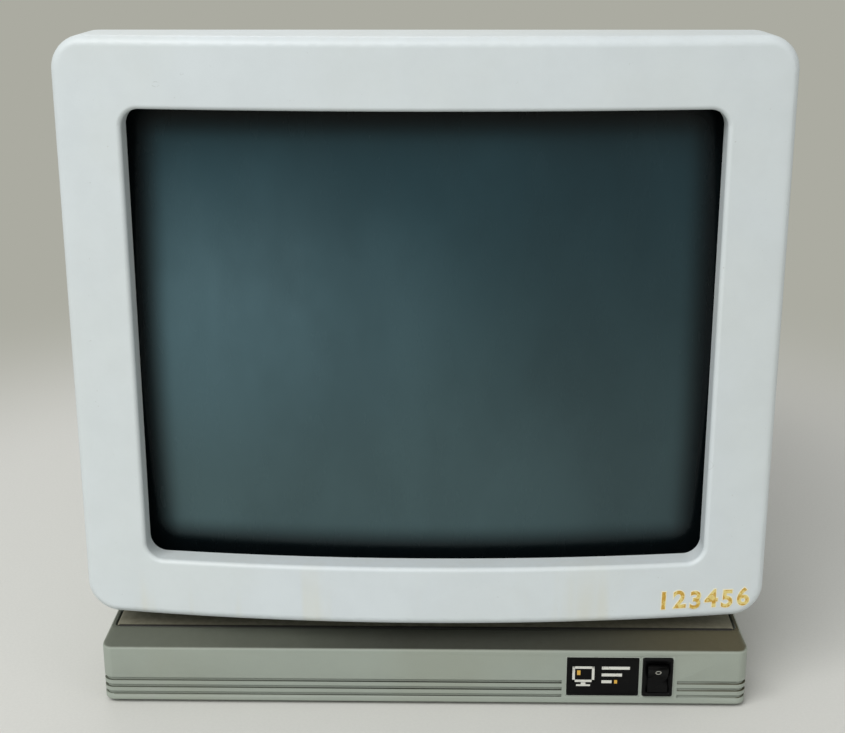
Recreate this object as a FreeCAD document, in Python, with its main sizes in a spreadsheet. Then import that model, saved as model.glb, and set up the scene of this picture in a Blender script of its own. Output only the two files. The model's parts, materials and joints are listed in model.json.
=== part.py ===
import FreeCAD, Part
import math
import os
import re

import Sketcher

# A desk-top computer terminal: a picture-tube monitor that swivels and tilts on a low base.
# The frame has its origin on the desk under the middle of the object, the screen looks
# towards -Y, and +Z is up. Lengths are millimetres and angles are degrees.

SIZES = {
    # Whole object, from the standing end of the rocker to the back of the rear housing
    "overall_depth": 315,
    "rocker_reach": 2.5,
    "foot_height": 1.6,
    "foot_radius": 8,
    "foot_inset": 30,
    # Base case: a tray with a sloped top edge and grooves round the front and sides
    "base_width": 305.4,
    "base_depth": 288,
    "base_setback": 1.2,
    "base_face": 27.8,
    "base_wall": 3,
    "base_corner": 5,
    "base_edge_round": 1,
    "ridge_round": 1.5,
    "slope_run": 12,
    "slope_rise": 4.4,
    "side_slope": 2.5,
    "rim_width": 1.2,
    "groove_width": 1.7,
    "groove_depth": 1.1,
    "groove_pitch": 3.65,
    "groove_low": 3.3,
    "bay_margin": 2.3,
    # Base cover: the flat top of the base
    "cover_thickness": 2.6,
    "cover_gap": 0.9,
    "cover_round": 1,
    "cover_boss_radius": 5,
    "cover_boss_inset": 17,
    "cover_screw_radius": 1.5,
    "cover_screw_head": 3,
    "cover_screw_sink": 1.6,
    "cover_screw_bite": 9,
    "cover_slot_width": 2.4,
    "cover_slot_length": 30,
    "cover_slot_pitch": 6,
    "cover_slot_inset": 42.2,
    "collar_depth": 3,
    "collar_wall": 3.5,
    # Badge and power switch in the front of the base
    "badge_pitch": 25.8,
    "badge_z": 14.5,
    "badge_width": 33.8,
    "badge_height": 19.7,
    "badge_thickness": 1.5,
    "badge_proud": 0.4,
    "badge_border": 0.8,
    "badge_sink": 0.3,
    "badge_corner": 0.8,
    "switch_inset": 42.4,
    "switch_z": 14.6,
    "switch_width": 14.3,
    "switch_height": 20,
    "switch_flange": 1.2,
    "switch_window_width": 10,
    "switch_window_height": 15,
    "switch_sleeve_wall": 1.2,
    "switch_sleeve_depth": 15,
    "switch_corner": 1,
    "fit_gap": 0.3,
    "rocker_tip": 9,
    "rocker_stand": 1.6,
    "rocker_round": 0.5,
    "rocker_waist": 1.2,
    "rocker_depth": 8,
    "rocker_pivot_depth": 3.4,
    "rocker_pin_radius": 1.3,
    "switch_body_depth": 11,
    "switch_blade_length": 7,
    "switch_blade_width": 4.8,
    "switch_blade_thickness": 0.8,
    "switch_blade_pitch": 10,
    # Rear panel of the base with its connectors
    "window_inset_left": 29.2,
    "window_inset_right": 21.2,
    "window_low": 2.8,
    "window_height": 21,
    "panel_lap": 4,
    "panel_thickness": 1.2,
    "panel_cut_gap": 0.2,
    "inlet_inset": 26,
    "inlet_width": 27,
    "inlet_height": 19.6,
    "inlet_flange_width": 46,
    "inlet_flange_height": 20.6,
    "inlet_flange": 2.5,
    "inlet_depth": 17,
    "inlet_wall": 1.6,
    "inlet_corner": 5,
    "inlet_screw_radius": 1.2,
    "inlet_screw_head": 2.4,
    "inlet_pin_width": 2,
    "inlet_pin_height": 4,
    "inlet_pin_length": 14,
    "inlet_pin_pitch": 7,
    "inlet_pin_rise": 0.4,
    "port_x": 32,
    "port_pitch": 62,
    "port_width": 39,
    "port_height": 8.4,
    "port_slant": 1.2,
    "port_flange_width": 53,
    "port_flange_height": 12.4,
    "port_flange": 1,
    "port_reach": 6,
    "port_body_depth": 11,
    "port_nut_radius": 2.6,
    "port_nut_length": 4,
    "jack_inset": 26,
    "jack_width": 15,
    "jack_height": 14,
    "jack_depth": 16,
    "jack_opening_width": 10.6,
    "jack_opening_height": 7,
    "jack_opening_depth": 13,
    "jack_reach": 1,
    "jack_round": 0.3,
    "jack_notch_width": 4,
    "jack_notch_height": 3,
    # Boards in the base
    "post_height": 4,
    "post_radius": 3.2,
    "board_thickness": 1.6,
    "board_screw_radius": 1.4,
    "board_screw_head": 2.8,
    "board_margin": 6,
    "board_side_gap": 13.2,
    "board_space": 12,
    "board_grid": 2.54,
    "chip_height": 4,
    "logic_front_gap": 35.8,
    "logic_back_gap": 34.2,
    "power_width": 92,
    "power_front_gap": 61.8,
    "power_back_gap": 38.2,
    # Swivel: a disc with a hub through the cover, held by a ring from below
    "swivel_setback": 148.8,
    "hub_radius": 34,
    "hub_bore": 26,
    "swivel_play": 0.08,
    "running_gap": 0.3,
    "disc_radius": 84,
    "disc_thickness": 3.4,
    "glide_width": 12,
    "glide_height": 1,
    "retainer_radius": 43,
    "retainer_thickness": 2,
    "retainer_screw_radius": 1.3,
    "retainer_screw_head": 2.6,
    "retainer_screw_bite": 5,
    # Tilt: two ears on the disc, a steel bracket in the monitor and two pins
    "tilt_axis_rise": 12.5,
    "ear_inner": 58,
    "ear_thickness": 6,
    "ear_half_length": 13,
    "ear_spread": 3,
    "pin_radius": 4,
    "pin_play": 0.06,
    "pin_head_radius": 6.5,
    "pin_head": 2.5,
    "pin_tail": 2,
    "washer_gap": 3,
    "washer_radius": 9,
    "bracket_thickness": 2,
    "bracket_height": 26,
    "bracket_half_length": 17,
    "bracket_flange": 17,
    # Monitor: bezel, curved about a vertical axis
    "monitor_clearance": 8.7,
    "bezel_width": 320,
    "bezel_height": 270,
    "bezel_depth": 30,
    "bezel_wall": 3,
    "bezel_corner": 15,
    "bezel_round": 4.5,
    "bezel_draft": 1,
    "face_radius": 975,
    "bezel_border": 30,
    "opening_corner": 8,
    "opening_drop": 0.8,
    "lip_round": 2,
    "sleeve_wall": 2.4,
    "sleeve_depth": 11.5,
    "tube_screw_spread": 16,
    "tube_boss_radius": 6,
    "tube_screw_radius": 1.9,
    "tube_screw_head": 4,
    "tube_screw_bite": 12,
    "screw_fit": 0.05,
    "screw_end": 1,
    "head_share": 0.4,
    # Rear housing
    "housing_inset": 1.4,
    "housing_wall": 2.8,
    "window_gap": 2.2,
    "housing_bend": 101.8,
    "housing_mid_taper": 20,
    "housing_mid_drop": 9.5,
    "housing_back_taper": 106,
    "housing_back_drop": 62.5,
    "housing_back_rise": 28,
    "housing_corner": 14,
    "housing_lift": 3,
    "tower_gap": 2,
    "tower_low_rise": 9,
    "tower_high_drop": 4.8,
    "tower_radius": 7,
    "tower_bore": 4.4,
    "tower_floor": 3,
    "housing_screw_radius": 1.9,
    "housing_screw_head": 3.6,
    "housing_screw_bite": 14,
    "screw_tower_length": 190,
    "post_hole_depth": 8,
    "vent_width": 3,
    "vent_pitch": 8,
    "top_vent_length": 62,
    "top_vent_inset": 79.5,
    "side_vent_height": 62,
    "side_vent_drop": 5.5,
    "side_vent_inset": 95.5,
    "back_vent_width": 118,
    "back_vent_drop": 51.5,
    # Picture tube
    "face_curve": 768,
    "glass_setback": 9.7,
    "panel_lap_x": 12,
    "panel_lap_z": 7,
    "panel_corner": 26,
    "panel_depth": 41.3,
    "panel_glass": 8,
    "funnel_wall": 3,
    "cone_run": 38,
    "cone_width_share": 0.796,
    "cone_height_share": 0.82,
    "throat_run": 36,
    "throat_width": 118,
    "throat_height": 106,
    "funnel_run": 34,
    "neck_radius": 14.5,
    "neck_wall": 1.6,
    "gun_step": 4,
    "tube_base_length": 9,
    "tube_base_radius": 11.5,
    "band_thickness": 1.2,
    "band_depth": 15,
    "band_gap": 0.1,
    "ear_plate": 2,
    "ear_reach": 6,
    "yoke_bore_gap": 0.5,
    "yoke_setback": 2,
    "yoke_length": 34,
    "yoke_front_radius": 38,
    "yoke_back_radius": 28,
    "clamp_length": 12,
    "clamp_radius": 18.5,
    "clamp_lug": 8,
    "clamp_lug_width": 6,
    "winding_width": 8,
    "cap_run": 14,
    "cap_radius": 15,
    "cap_height": 5,
    "cap_seat": 16,
    "cap_sink": 20,
    "cap_stem_radius": 6,
    "cap_stem": 6,
    "socket_length": 9,
    "socket_radius": 15,
    "neck_board_size": 66,
    "neck_board_setback": 27.5,
    # Video board in the monitor
    "video_rise": 34.5,
    "video_width": 190,
    "video_setback": 26,
    "video_back_gap": 25.5,
    "flyback_inset": 29,
    "flyback_setback": 54,
    "flyback_radius": 17,
    "flyback_height": 42,
    "flyback_core": 8,
    "flyback_core_gap": 1,
    "flyback_dome": 6,
    "sink_height": 34,
    "sink_length": 60,
    "fin_thickness": 1.5,
    "fin_length": 9,
    # Brightness control at the right side of the monitor
    "wheel_setback": 85,
    "wheel_rise": 41.5,
    "wheel_radius": 11,
    "wheel_thickness": 5,
    "wheel_proud": 1.4,
    "wheel_gap": 0.6,
    "wheel_notches": 20,
    "notch_radius": 0.6,
    "shaft_radius": 2.5,
    "shaft_play": 0.06,
    "control_width": 12,
    "control_height": 10,
    "control_floor": 1,
    "control_corner": 1.5,
}

PLACES = {
    "bezel_front": "-overall_depth / 2 + rocker_reach",
    "housing_back": "overall_depth / 2",
    "half_bezel": "bezel_width / 2",
    "bezel_edge": "bezel_front + face_radius - sqrt(face_radius ^ 2 - half_bezel ^ 2)",
    "bezel_back": "bezel_edge + bezel_depth",
    "base_front": "bezel_front + base_setback",
    "base_back": "base_front + base_depth",
    "half_base": "base_width / 2",
    "switch_x": "half_base - switch_inset",
    "badge_x": "switch_x - badge_pitch",
    "bay_left": "badge_x - badge_width / 2 - bay_margin",
    "bay_right": "switch_x + switch_width / 2 + bay_margin",
    "floor_top": "foot_height + base_wall",
    "ridge_z": "foot_height + base_face",
    "ledge_z": "ridge_z - base_wall",
    "cover_top": "ridge_z + slope_rise",
    "cover_bottom": "cover_top - cover_thickness",
    "cover_side": "half_base - side_slope - rim_width",
    "cover_front": "base_front + slope_run + rim_width",
    "cover_back": "base_back - side_slope - rim_width",
    "cover_slot_y": "base_back - cover_slot_inset",
    "board_z": "floor_top + post_height",
    "board_top": "board_z + board_thickness",
    "power_right": "half_base - board_side_gap",
    "power_left": "power_right - power_width",
    "power_front": "base_front + power_front_gap",
    "power_back": "base_back - power_back_gap",
    "logic_left": "-half_base + board_side_gap",
    "logic_right": "power_left - board_space",
    "logic_front": "base_front + logic_front_gap",
    "logic_back": "base_back - logic_back_gap",
    "panel_y": "base_back - base_wall - panel_thickness",
    "panel_out": "base_back - base_wall",
    "window_left": "-half_base + window_inset_left",
    "window_right": "half_base - window_inset_right",
    "window_mid_z": "foot_height + window_low + window_height / 2",
    "inlet_x": "window_right - inlet_inset",
    "jack_x": "window_left + jack_inset",
    "badge_mid_z": "foot_height + badge_z",
    "switch_mid_z": "foot_height + switch_z",
    "rocker_y": "base_front + rocker_pivot_depth",
    "sleeve_end": "base_front + switch_sleeve_depth",
    "sleeve_width": "switch_window_width + 2 * switch_sleeve_wall",
    "sleeve_height": "switch_window_height + 2 * switch_sleeve_wall",
    "swivel_y": "base_front + swivel_setback",
    "glide_top": "cover_top + glide_height",
    "disc_low": "glide_top + running_gap",
    "disc_top": "disc_low + disc_thickness",
    "collar_low": "cover_bottom - collar_depth",
    "hub_low": "collar_low - running_gap",
    "ear_outer": "ear_inner + ear_thickness",
    "leg_inner": "ear_outer + washer_gap",
    "leg_outer": "leg_inner + bracket_thickness",
    "bezel_low": "cover_top + monitor_clearance",
    "bezel_top": "bezel_low + bezel_height",
    "screen_z": "bezel_low + bezel_height / 2",
    "opening_z": "screen_z - opening_drop",
    "opening_width": "bezel_width - 2 * bezel_border",
    "opening_height": "bezel_height - 2 * bezel_border",
    "bezel_rear_half": "half_bezel - bezel_depth * tan(bezel_draft)",
    "glass_front_y": "bezel_front + glass_setback",
    "panel_back_y": "glass_front_y + panel_depth",
    "panel_width": "opening_width + 2 * panel_lap_x",
    "panel_height": "opening_height + 2 * panel_lap_z",
    "cone_y": "panel_back_y + cone_run",
    "cone_width": "panel_width * cone_width_share",
    "cone_height": "panel_height * cone_height_share",
    "throat_y": "cone_y + throat_run",
    "neck_y": "throat_y + funnel_run",
    "neck_board_y": "housing_back - neck_board_setback",
    "neck_end_y": "neck_board_y - socket_length - tube_base_length",
    "yoke_front_y": "neck_y + yoke_setback",
    "cap_y": "cone_y + cap_run",
    "ear_x": "opening_width / 2 + tube_screw_spread",
    "ear_z": "opening_height / 2 + tube_screw_spread",
    "ear_plate_y": "panel_back_y - band_depth - ear_plate",
    "housing_front_half": "bezel_rear_half - housing_inset",
    "housing_front_top": "bezel_top - housing_inset - bezel_depth * tan(bezel_draft)",
    "housing_bottom": "bezel_low + housing_lift",
    "housing_bend_y": "bezel_back + housing_bend",
    "housing_mid_width": "bezel_width - housing_mid_taper",
    "housing_mid_top": "bezel_top - housing_mid_drop",
    "housing_back_width": "bezel_width - housing_back_taper",
    "housing_back_top": "bezel_top - housing_back_drop",
    "housing_back_low": "housing_bottom + housing_back_rise",
    "tower_x": "leg_outer + bracket_flange + tower_gap + tower_radius",
    "tower_low_z": "housing_bottom + tower_low_rise",
    "tower_high_z": "housing_mid_top - tower_high_drop",
    "tilt_axis_z": "housing_bottom + tilt_axis_rise",
    "wheel_y": "bezel_front + wheel_setback",
    "wheel_z": "bezel_low + wheel_rise",
    "housing_floor": "housing_bottom + housing_wall",
    "under_bend_y": "swivel_y + bracket_half_length + 8",
    "taper_share": "(under_bend_y - housing_bend_y) / (housing_back - housing_bend_y)",
    "under_bend_width": "housing_mid_width - (housing_mid_width - housing_back_width) * taper_share",
    "under_bend_top": "housing_mid_top - (housing_mid_top - housing_back_top) * taper_share",
    "side_slope_rate": "(housing_front_half - housing_mid_width / 2) / (housing_bend_y - bezel_back)",
    "wheel_wall_x": "housing_front_half - side_slope_rate * (wheel_y - bezel_back)",
    "wheel_x": "wheel_wall_x + wheel_proud - wheel_radius",
    "control_low": "wheel_z - wheel_thickness / 2 - wheel_gap - control_height",
    "video_z": "housing_bottom + video_rise",
    "video_top": "video_z + board_thickness",
    "video_half": "video_width / 2",
    "video_front": "neck_y + video_setback",
    "video_back": "housing_back - video_back_gap",
    "flyback_x": "video_half - flyback_inset",
    "flyback_y": "video_front + flyback_setback",
    "top_vent_y": "housing_back - top_vent_inset",
    "side_vent_y": "housing_back - side_vent_inset",
    "side_vent_z": "screen_z - side_vent_drop",
    "back_vent_z": "screen_z - back_vent_drop",
}

doc = FreeCAD.newDocument("Terminal")
Vector = FreeCAD.Vector
Rotation = FreeCAD.Rotation
PLANES = {
    "XY": Rotation(),
    "XZ": Rotation(Vector(1, 0, 0), 90),
    "YZ": Rotation(Vector(1, 1, 1), 120),
}
AXES = {
    "X": Rotation(Vector(0, 1, 0), 90),
    "Y": Rotation(Vector(1, 0, 0), -90),
    "Z": Rotation(),
}
ENDS = ((-1, -1), (1, -1), (1, 1), (-1, 1))
pieces = {}


def full_names(text):
    # Each size or place in an expression gets the name of the sheet that holds it.
    def with_sheet(match):
        word = match.group(0)
        if word in SIZES:
            return "Sizes." + word
        if word in PLACES:
            return "Places." + word
        return word

    return re.sub(r"[a-z][a-z_]*", with_sheet, text)


def fill_sheet(label, rows):
    sheet = doc.addObject("Spreadsheet::Sheet", label)
    for row, (name, content) in enumerate(rows.items(), 1):
        sheet.set("A%d" % row, name)
        sheet.set("B%d" % row, content)
        sheet.setAlias("B%d" % row, name)
    doc.recompute()
    return sheet


fill_sheet("Sizes", {name: str(number) for name, number in SIZES.items()})
places = fill_sheet("Places", {name: "=" + full_names(rule) for name, rule in PLACES.items()})


def value(text):
    # The number that an expression gives now.
    result = places.evalExpression(full_names(str(text)))
    return float(getattr(result, "Value", result))


def tie(item, setting, text):
    item.setExpression(setting, full_names(str(text)))


def keep(name, item):
    # Names a finished sub-part, which is written to its own file.
    item.Label = name
    pieces[name] = item
    return item


# Sketches and the outlines in them


def sketch(body, name, plane, at="0"):
    # A sketch on an origin plane of its body, moved along the world axis across that plane.
    drawing = body.newObject("Sketcher::SketchObject", name)
    role = plane + "_Plane"
    origin_plane = next(item for item in body.Origin.OriginFeatures if item.Role == role)
    drawing.AttachmentSupport = [(origin_plane, "")]
    drawing.MapMode = "FlatFace"
    tie(drawing, "AttachmentOffset.Base.z", "-(%s)" % at if plane == "XZ" else at)
    return drawing


def free_sketch(name, plane, at="0"):
    # A sketch that belongs to no body, for lofts between sections.
    drawing = doc.addObject("Sketcher::SketchObject", name)
    drawing.Placement = FreeCAD.Placement(Vector(), PLANES[plane])
    tie(drawing, "Placement.Base." + {"XY": "z", "XZ": "y", "YZ": "x"}[plane], at)
    return drawing


def hold(drawing, kind, first, second, text):
    # One dimension of a sketch, bound to its expression.
    if kind == "Radius":
        number = drawing.addConstraint(Sketcher.Constraint(kind, first, value(text)))
    else:
        number = drawing.addConstraint(
            Sketcher.Constraint(kind, -1, 1, first, second, value(text))
        )
    tie(drawing, "Constraints[%d]" % number, text)


def bent_side(start, end, text):
    # An arc from start to end; a radius with a minus sign bulges to the left of the way.
    radius = abs(value(text))
    chord = end - start
    across = Vector(-chord.y, chord.x, 0).normalize()
    turn = -1 if text.startswith("-") else 1
    height = math.sqrt(radius ** 2 - chord.Length ** 2 / 4)
    centre = (start + end) * 0.5 + across * turn * height
    angles = [math.atan2(point.y - centre.y, point.x - centre.x) for point in (start, end)]
    circle = Part.Circle(centre, Vector(0, 0, 1), radius)
    if turn > 0:
        return Part.ArcOfCircle(circle, angles[0], angles[1]), 1, 2
    return Part.ArcOfCircle(circle, angles[1], angles[0]), 2, 1


def outline(drawing, corners):
    # A closed outline; a third entry makes the side that ends at a corner an arc.
    count = len(corners)
    points = [Vector(value(corner[0]), value(corner[1]), 0) for corner in corners]
    sides = []
    for index in range(count):
        following = (index + 1) % count
        bend = corners[following][2] if len(corners[following]) == 3 else None
        if bend is None:
            line, first, last = Part.LineSegment(points[index], points[following]), 1, 2
        else:
            line, first, last = bent_side(points[index], points[following], bend)
        sides.append((drawing.addGeometry(line, False), first, last, bend))
    for index, (side, first, last, bend) in enumerate(sides):
        following = sides[(index + 1) % count]
        drawing.addConstraint(
            Sketcher.Constraint("Coincident", side, last, following[0], following[1])
        )
        hold(drawing, "DistanceX", side, first, corners[index][0])
        hold(drawing, "DistanceY", side, first, corners[index][1])
        if bend is not None:
            hold(drawing, "Radius", side, None, bend.lstrip("-"))
    return drawing


def rounded(drawing, left, right, low, high, radius):
    # A rectangle with equal round corners.
    x = {"left": value(left), "right": value(right)}
    y = {"low": value(low), "high": value(high)}
    bend = value(radius)
    sides = []
    corners = (("right", "low", -90), ("right", "high", 0), ("left", "high", 90), ("left", "low", 180))
    for index, (across, up, start) in enumerate(corners):
        before = corners[index - 1]
        middle = []
        for place in (before, corners[index]):
            inward_x = 1 if place[0] == "left" else -1
            inward_y = 1 if place[1] == "low" else -1
            middle.append(Vector(x[place[0]] + inward_x * bend, y[place[1]] + inward_y * bend, 0))
        heading = math.radians(start)
        aside = Vector(math.cos(heading), math.sin(heading), 0) * bend
        line = Part.LineSegment(middle[0] + aside, middle[1] + aside)
        circle = Part.Circle(middle[1], Vector(0, 0, 1), bend)
        arc = Part.ArcOfCircle(circle, heading, heading + math.pi / 2)
        sides.append(drawing.addGeometry(line, False))
        sides.append(drawing.addGeometry(arc, False))
    for index, side in enumerate(sides):
        following = sides[(index + 1) % 8]
        drawing.addConstraint(Sketcher.Constraint("Tangent", side, 2, following, 1))
    for index, kind in enumerate(("Horizontal", "Vertical", "Horizontal", "Vertical")):
        drawing.addConstraint(Sketcher.Constraint(kind, sides[2 * index]))
    for index in (3, 5, 7):
        drawing.addConstraint(Sketcher.Constraint("Equal", sides[1], sides[index]))
    hold(drawing, "Radius", sides[1], None, radius)
    hold(drawing, "DistanceY", sides[0], 1, low)
    hold(drawing, "DistanceX", sides[2], 1, right)
    hold(drawing, "DistanceY", sides[4], 1, high)
    hold(drawing, "DistanceX", sides[6], 1, left)
    return drawing


def centred(drawing, x, y, width, height, radius):
    # A rounded rectangle by its middle and its size.
    return rounded(
        drawing,
        "%s - (%s) / 2" % (x, width),
        "%s + (%s) / 2" % (x, width),
        "%s - (%s) / 2" % (y, height),
        "%s + (%s) / 2" % (y, height),
        radius,
    )


def circle(drawing, x, y, radius):
    shape = Part.Circle(Vector(value(x), value(y), 0), Vector(0, 0, 1), value(radius))
    number = drawing.addGeometry(shape, False)
    hold(drawing, "DistanceX", number, 3, x)
    hold(drawing, "DistanceY", number, 3, y)
    hold(drawing, "Radius", number, None, radius)
    return drawing


def plain(drawing, left, right, low, high):
    # A rectangle with sharp corners.
    return outline(drawing, [(left, low), (right, low), (right, high), (left, high)])


# Features of a body


def new_body(name):
    return keep(name, doc.addObject("PartDesign::Body", name))


def pad(body, profile, length, reverse=False):
    feature = body.newObject("PartDesign::Pad", profile.Name + "_pad")
    feature.Profile = profile
    feature.Reversed = reverse
    tie(feature, "Length", length)
    doc.recompute()
    return feature


def pocket(body, profile, length, reverse=False):
    feature = body.newObject("PartDesign::Pocket", profile.Name + "_cut")
    feature.Profile = profile
    feature.Reversed = reverse
    tie(feature, "Length", length)
    doc.recompute()
    return feature


def spin(body, profile, kind="Revolution"):
    # A full turn about the upright axis of the sketch.
    feature = body.newObject("PartDesign::" + kind, profile.Name + "_spin")
    feature.Profile = profile
    feature.ReferenceAxis = (profile, ["V_Axis"])
    feature.Angle = 360
    doc.recompute()
    return feature


def blend(body, kind, sections, ruled=True):
    feature = body.newObject("PartDesign::%sLoft" % kind, sections[0].Name + "_loft")
    feature.Profile = sections[0]
    feature.Sections = sections[1:]
    feature.Ruled = ruled
    doc.recompute()
    return feature


def dress(body, kind, radius, wanted):
    # A fillet or chamfer on the edges of the tip that the test picks.
    base = body.Tip
    names = ["Edge%d" % (n + 1) for n, edge in enumerate(base.Shape.Edges) if wanted(edge)]
    feature = body.newObject("PartDesign::" + kind, base.Name + "_edges")
    feature.Base = (base, names)
    tie(feature, "Radius" if kind == "Fillet" else "Size", radius)
    doc.recompute()
    return feature


def repeat(body, kind, original, axis_role, length, count):
    # A row along an origin axis, or a ring about it.
    feature = body.newObject("PartDesign::" + kind, original.Name + "_row")
    feature.Originals = [original]
    axis = next(item for item in body.Origin.OriginFeatures if item.Role == axis_role)
    if kind == "LinearPattern":
        feature.Direction = (axis, [""])
        tie(feature, "Length", length)
    else:
        feature.Axis = (axis, [""])
        feature.Angle = 360
    tie(feature, "Occurrences", count)
    body.Tip = feature
    doc.recompute()
    return feature


def level(edge, axis, text):
    # True where a whole edge lies at one height along an axis.
    box = edge.BoundBox
    low = getattr(box, axis + "Min")
    high = getattr(box, axis + "Max")
    return abs(low - value(text)) < 0.01 and abs(high - value(text)) < 0.01


# Plain solids and booleans


def put(item, at, turn=None):
    if turn is not None:
        item.Placement = FreeCAD.Placement(Vector(), turn)
    for axis, text in zip("xyz", at):
        tie(item, "Placement.Base." + axis, text)
    return item


def block(name, at, lengths):
    # A box from its lowest corner.
    item = doc.addObject("Part::Box", name)
    for setting, text in zip(("Length", "Width", "Height"), lengths):
        tie(item, setting, text)
    return put(item, at)


def rod(name, axis, at, radius, length):
    # A cylinder along an axis, from the middle of its lower end.
    item = doc.addObject("Part::Cylinder", name)
    tie(item, "Radius", radius)
    tie(item, "Height", length)
    return put(item, at, AXES[axis])


def cone(name, axis, at, first, second, length):
    item = doc.addObject("Part::Cone", name)
    tie(item, "Radius1", first)
    tie(item, "Radius2", second)
    tie(item, "Height", length)
    return put(item, at, AXES[axis])


def join(name, items):
    item = doc.addObject("Part::MultiFuse", name)
    item.Shapes = items
    return item


def take(name, base, tool):
    item = doc.addObject("Part::Cut", name)
    item.Base = base
    item.Tool = tool
    return item


def shared(name, first, second):
    item = doc.addObject("Part::MultiCommon", name)
    item.Shapes = [first, second]
    return item


def group(name, items):
    # Several separate solids under one name.
    item = doc.addObject("Part::Compound", name)
    item.Links = items
    return keep(name, item)


def solid_loft(name, sections, ruled=True):
    item = doc.addObject("Part::Loft", name)
    item.Sections = sections
    item.Solid = True
    item.Ruled = ruled
    return item


def screw(name, axis, at, way, kind, length):
    # A round-headed screw; way is 1 where the shank points along the axis, else -1.
    index = "XYZ".index(axis)
    radius = kind + "_radius"
    head = kind + "_head"
    height = head + " * head_share"
    shank_at = list(at)
    head_at = list(at)
    ends = [head + " * 0.7", head]
    if way > 0:
        head_at[index] = "%s - %s" % (at[index], height)
    else:
        shank_at[index] = "%s - (%s)" % (at[index], length)
        ends.reverse()
    cap = cone(name + "_head", axis, head_at, ends[0], ends[1], height)
    return join(name, [cap, rod(name + "_shank", axis, shank_at, radius, length)])


def grid(count):
    # A length in steps of the grid that circuit boards are laid out on.
    return "%g * board_grid" % count


# Base case


def base_case():
    body = new_body("base_case")
    edges = ("-half_base", "half_base", "base_front", "base_back", "base_corner")
    pad(body, rounded(sketch(body, "case_outline", "XY", "foot_height"), *edges), "base_face")
    ridge = rounded(sketch(body, "ridge_outline", "XY", "ridge_z"), *edges)
    crest = rounded(
        sketch(body, "crest_outline", "XY", "cover_top"),
        "-half_base + side_slope",
        "half_base - side_slope",
        "base_front + slope_run",
        "base_back - side_slope",
        "base_corner - side_slope",
    )
    blend(body, "Additive", [ridge, crest])
    dress(body, "Fillet", "ridge_round", lambda edge: level(edge, "Z", "ridge_z"))
    dress(body, "Fillet", "base_edge_round", lambda edge: level(edge, "Z", "foot_height"))
    hollow = rounded(
        sketch(body, "hollow_outline", "XY", "ledge_z"),
        "-half_base + base_wall + rim_width",
        "half_base - base_wall - rim_width",
        "base_front + base_wall",
        "base_back - base_wall",
        "base_corner - base_wall",
    )
    pocket(body, hollow, "ledge_z - floor_top")
    mouth = rounded(
        sketch(body, "mouth_outline", "XY", "cover_top"),
        "-cover_side",
        "cover_side",
        "cover_front",
        "cover_back",
        "base_corner - rim_width",
    )
    pocket(body, mouth, "cover_top - ledge_z")
    ring = sketch(body, "groove_outline", "XY", "foot_height + groove_low + groove_width")
    plain(ring, "-half_base - 1", "half_base + 1", "base_front - 1", "base_back + 2")
    rounded(
        ring,
        "-half_base + groove_depth",
        "half_base - groove_depth",
        "base_front + groove_depth",
        "base_back + 1",
        "base_corner - groove_depth",
    )
    groove = pocket(body, ring, "groove_width")
    repeat(body, "LinearPattern", groove, "Z_Axis", "2 * groove_pitch", "3")
    bay = plain(
        sketch(body, "bay_outline", "XY", "foot_height + groove_low"),
        "bay_left",
        "bay_right",
        "base_front",
        "base_front + base_wall",
    )
    pad(body, bay, "2 * groove_pitch + groove_width")
    seat = centred(
        sketch(body, "badge_seat", "XZ", "base_front"),
        "badge_x",
        "badge_mid_z",
        "badge_width + 2 * fit_gap",
        "badge_height + 2 * fit_gap",
        "badge_corner",
    )
    pocket(body, seat, "badge_thickness - badge_proud")
    hole = centred(
        sketch(body, "switch_hole", "XZ", "base_front"),
        "switch_x",
        "switch_mid_z",
        "sleeve_width + 2 * screw_fit",
        "sleeve_height + 2 * screw_fit",
        "switch_corner",
    )
    pocket(body, hole, "base_wall + 1")
    window = plain(
        sketch(body, "rear_window", "XZ", "base_back"),
        "window_left",
        "window_right",
        "window_mid_z - window_height / 2",
        "window_mid_z + window_height / 2",
    )
    pocket(body, window, "base_wall + 1", reverse=True)
    posts = sketch(body, "board_posts", "XY", "floor_top")
    for x, y in board_corners("logic") + board_corners("power"):
        circle(posts, x, y, "post_radius")
    pad(body, posts, "post_height")
    post_holes = sketch(body, "post_holes", "XY", "board_z")
    for x, y in board_corners("logic") + board_corners("power"):
        circle(post_holes, x, y, "board_screw_radius + screw_fit")
    pocket(body, post_holes, "post_height")
    sinks = sketch(body, "screw_sinks", "XY", "foot_height + cover_screw_sink")
    holes = sketch(body, "screw_holes", "XY", "floor_top")
    for x, y in cover_bosses():
        circle(sinks, x, y, "cover_screw_head + fit_gap")
        circle(holes, x, y, "cover_screw_radius + 2 * screw_fit")
    pocket(body, sinks, "cover_screw_sink")
    pocket(body, holes, "base_wall")


def board_corners(board):
    # The screw places of a board in the base.
    across = ("%s_left + board_margin" % board, "%s_right - board_margin" % board)
    along = ("%s_front + board_margin" % board, "%s_back - board_margin" % board)
    return [(x, y) for x in across for y in along]


def cover_bosses():
    x = "(cover_side - cover_boss_inset / 2)"
    front = "cover_front + cover_boss_inset / 2"
    back = "cover_back - cover_boss_inset"
    return [("-" + x, front), (x, front), ("-" + x, back), (x, back)]


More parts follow.
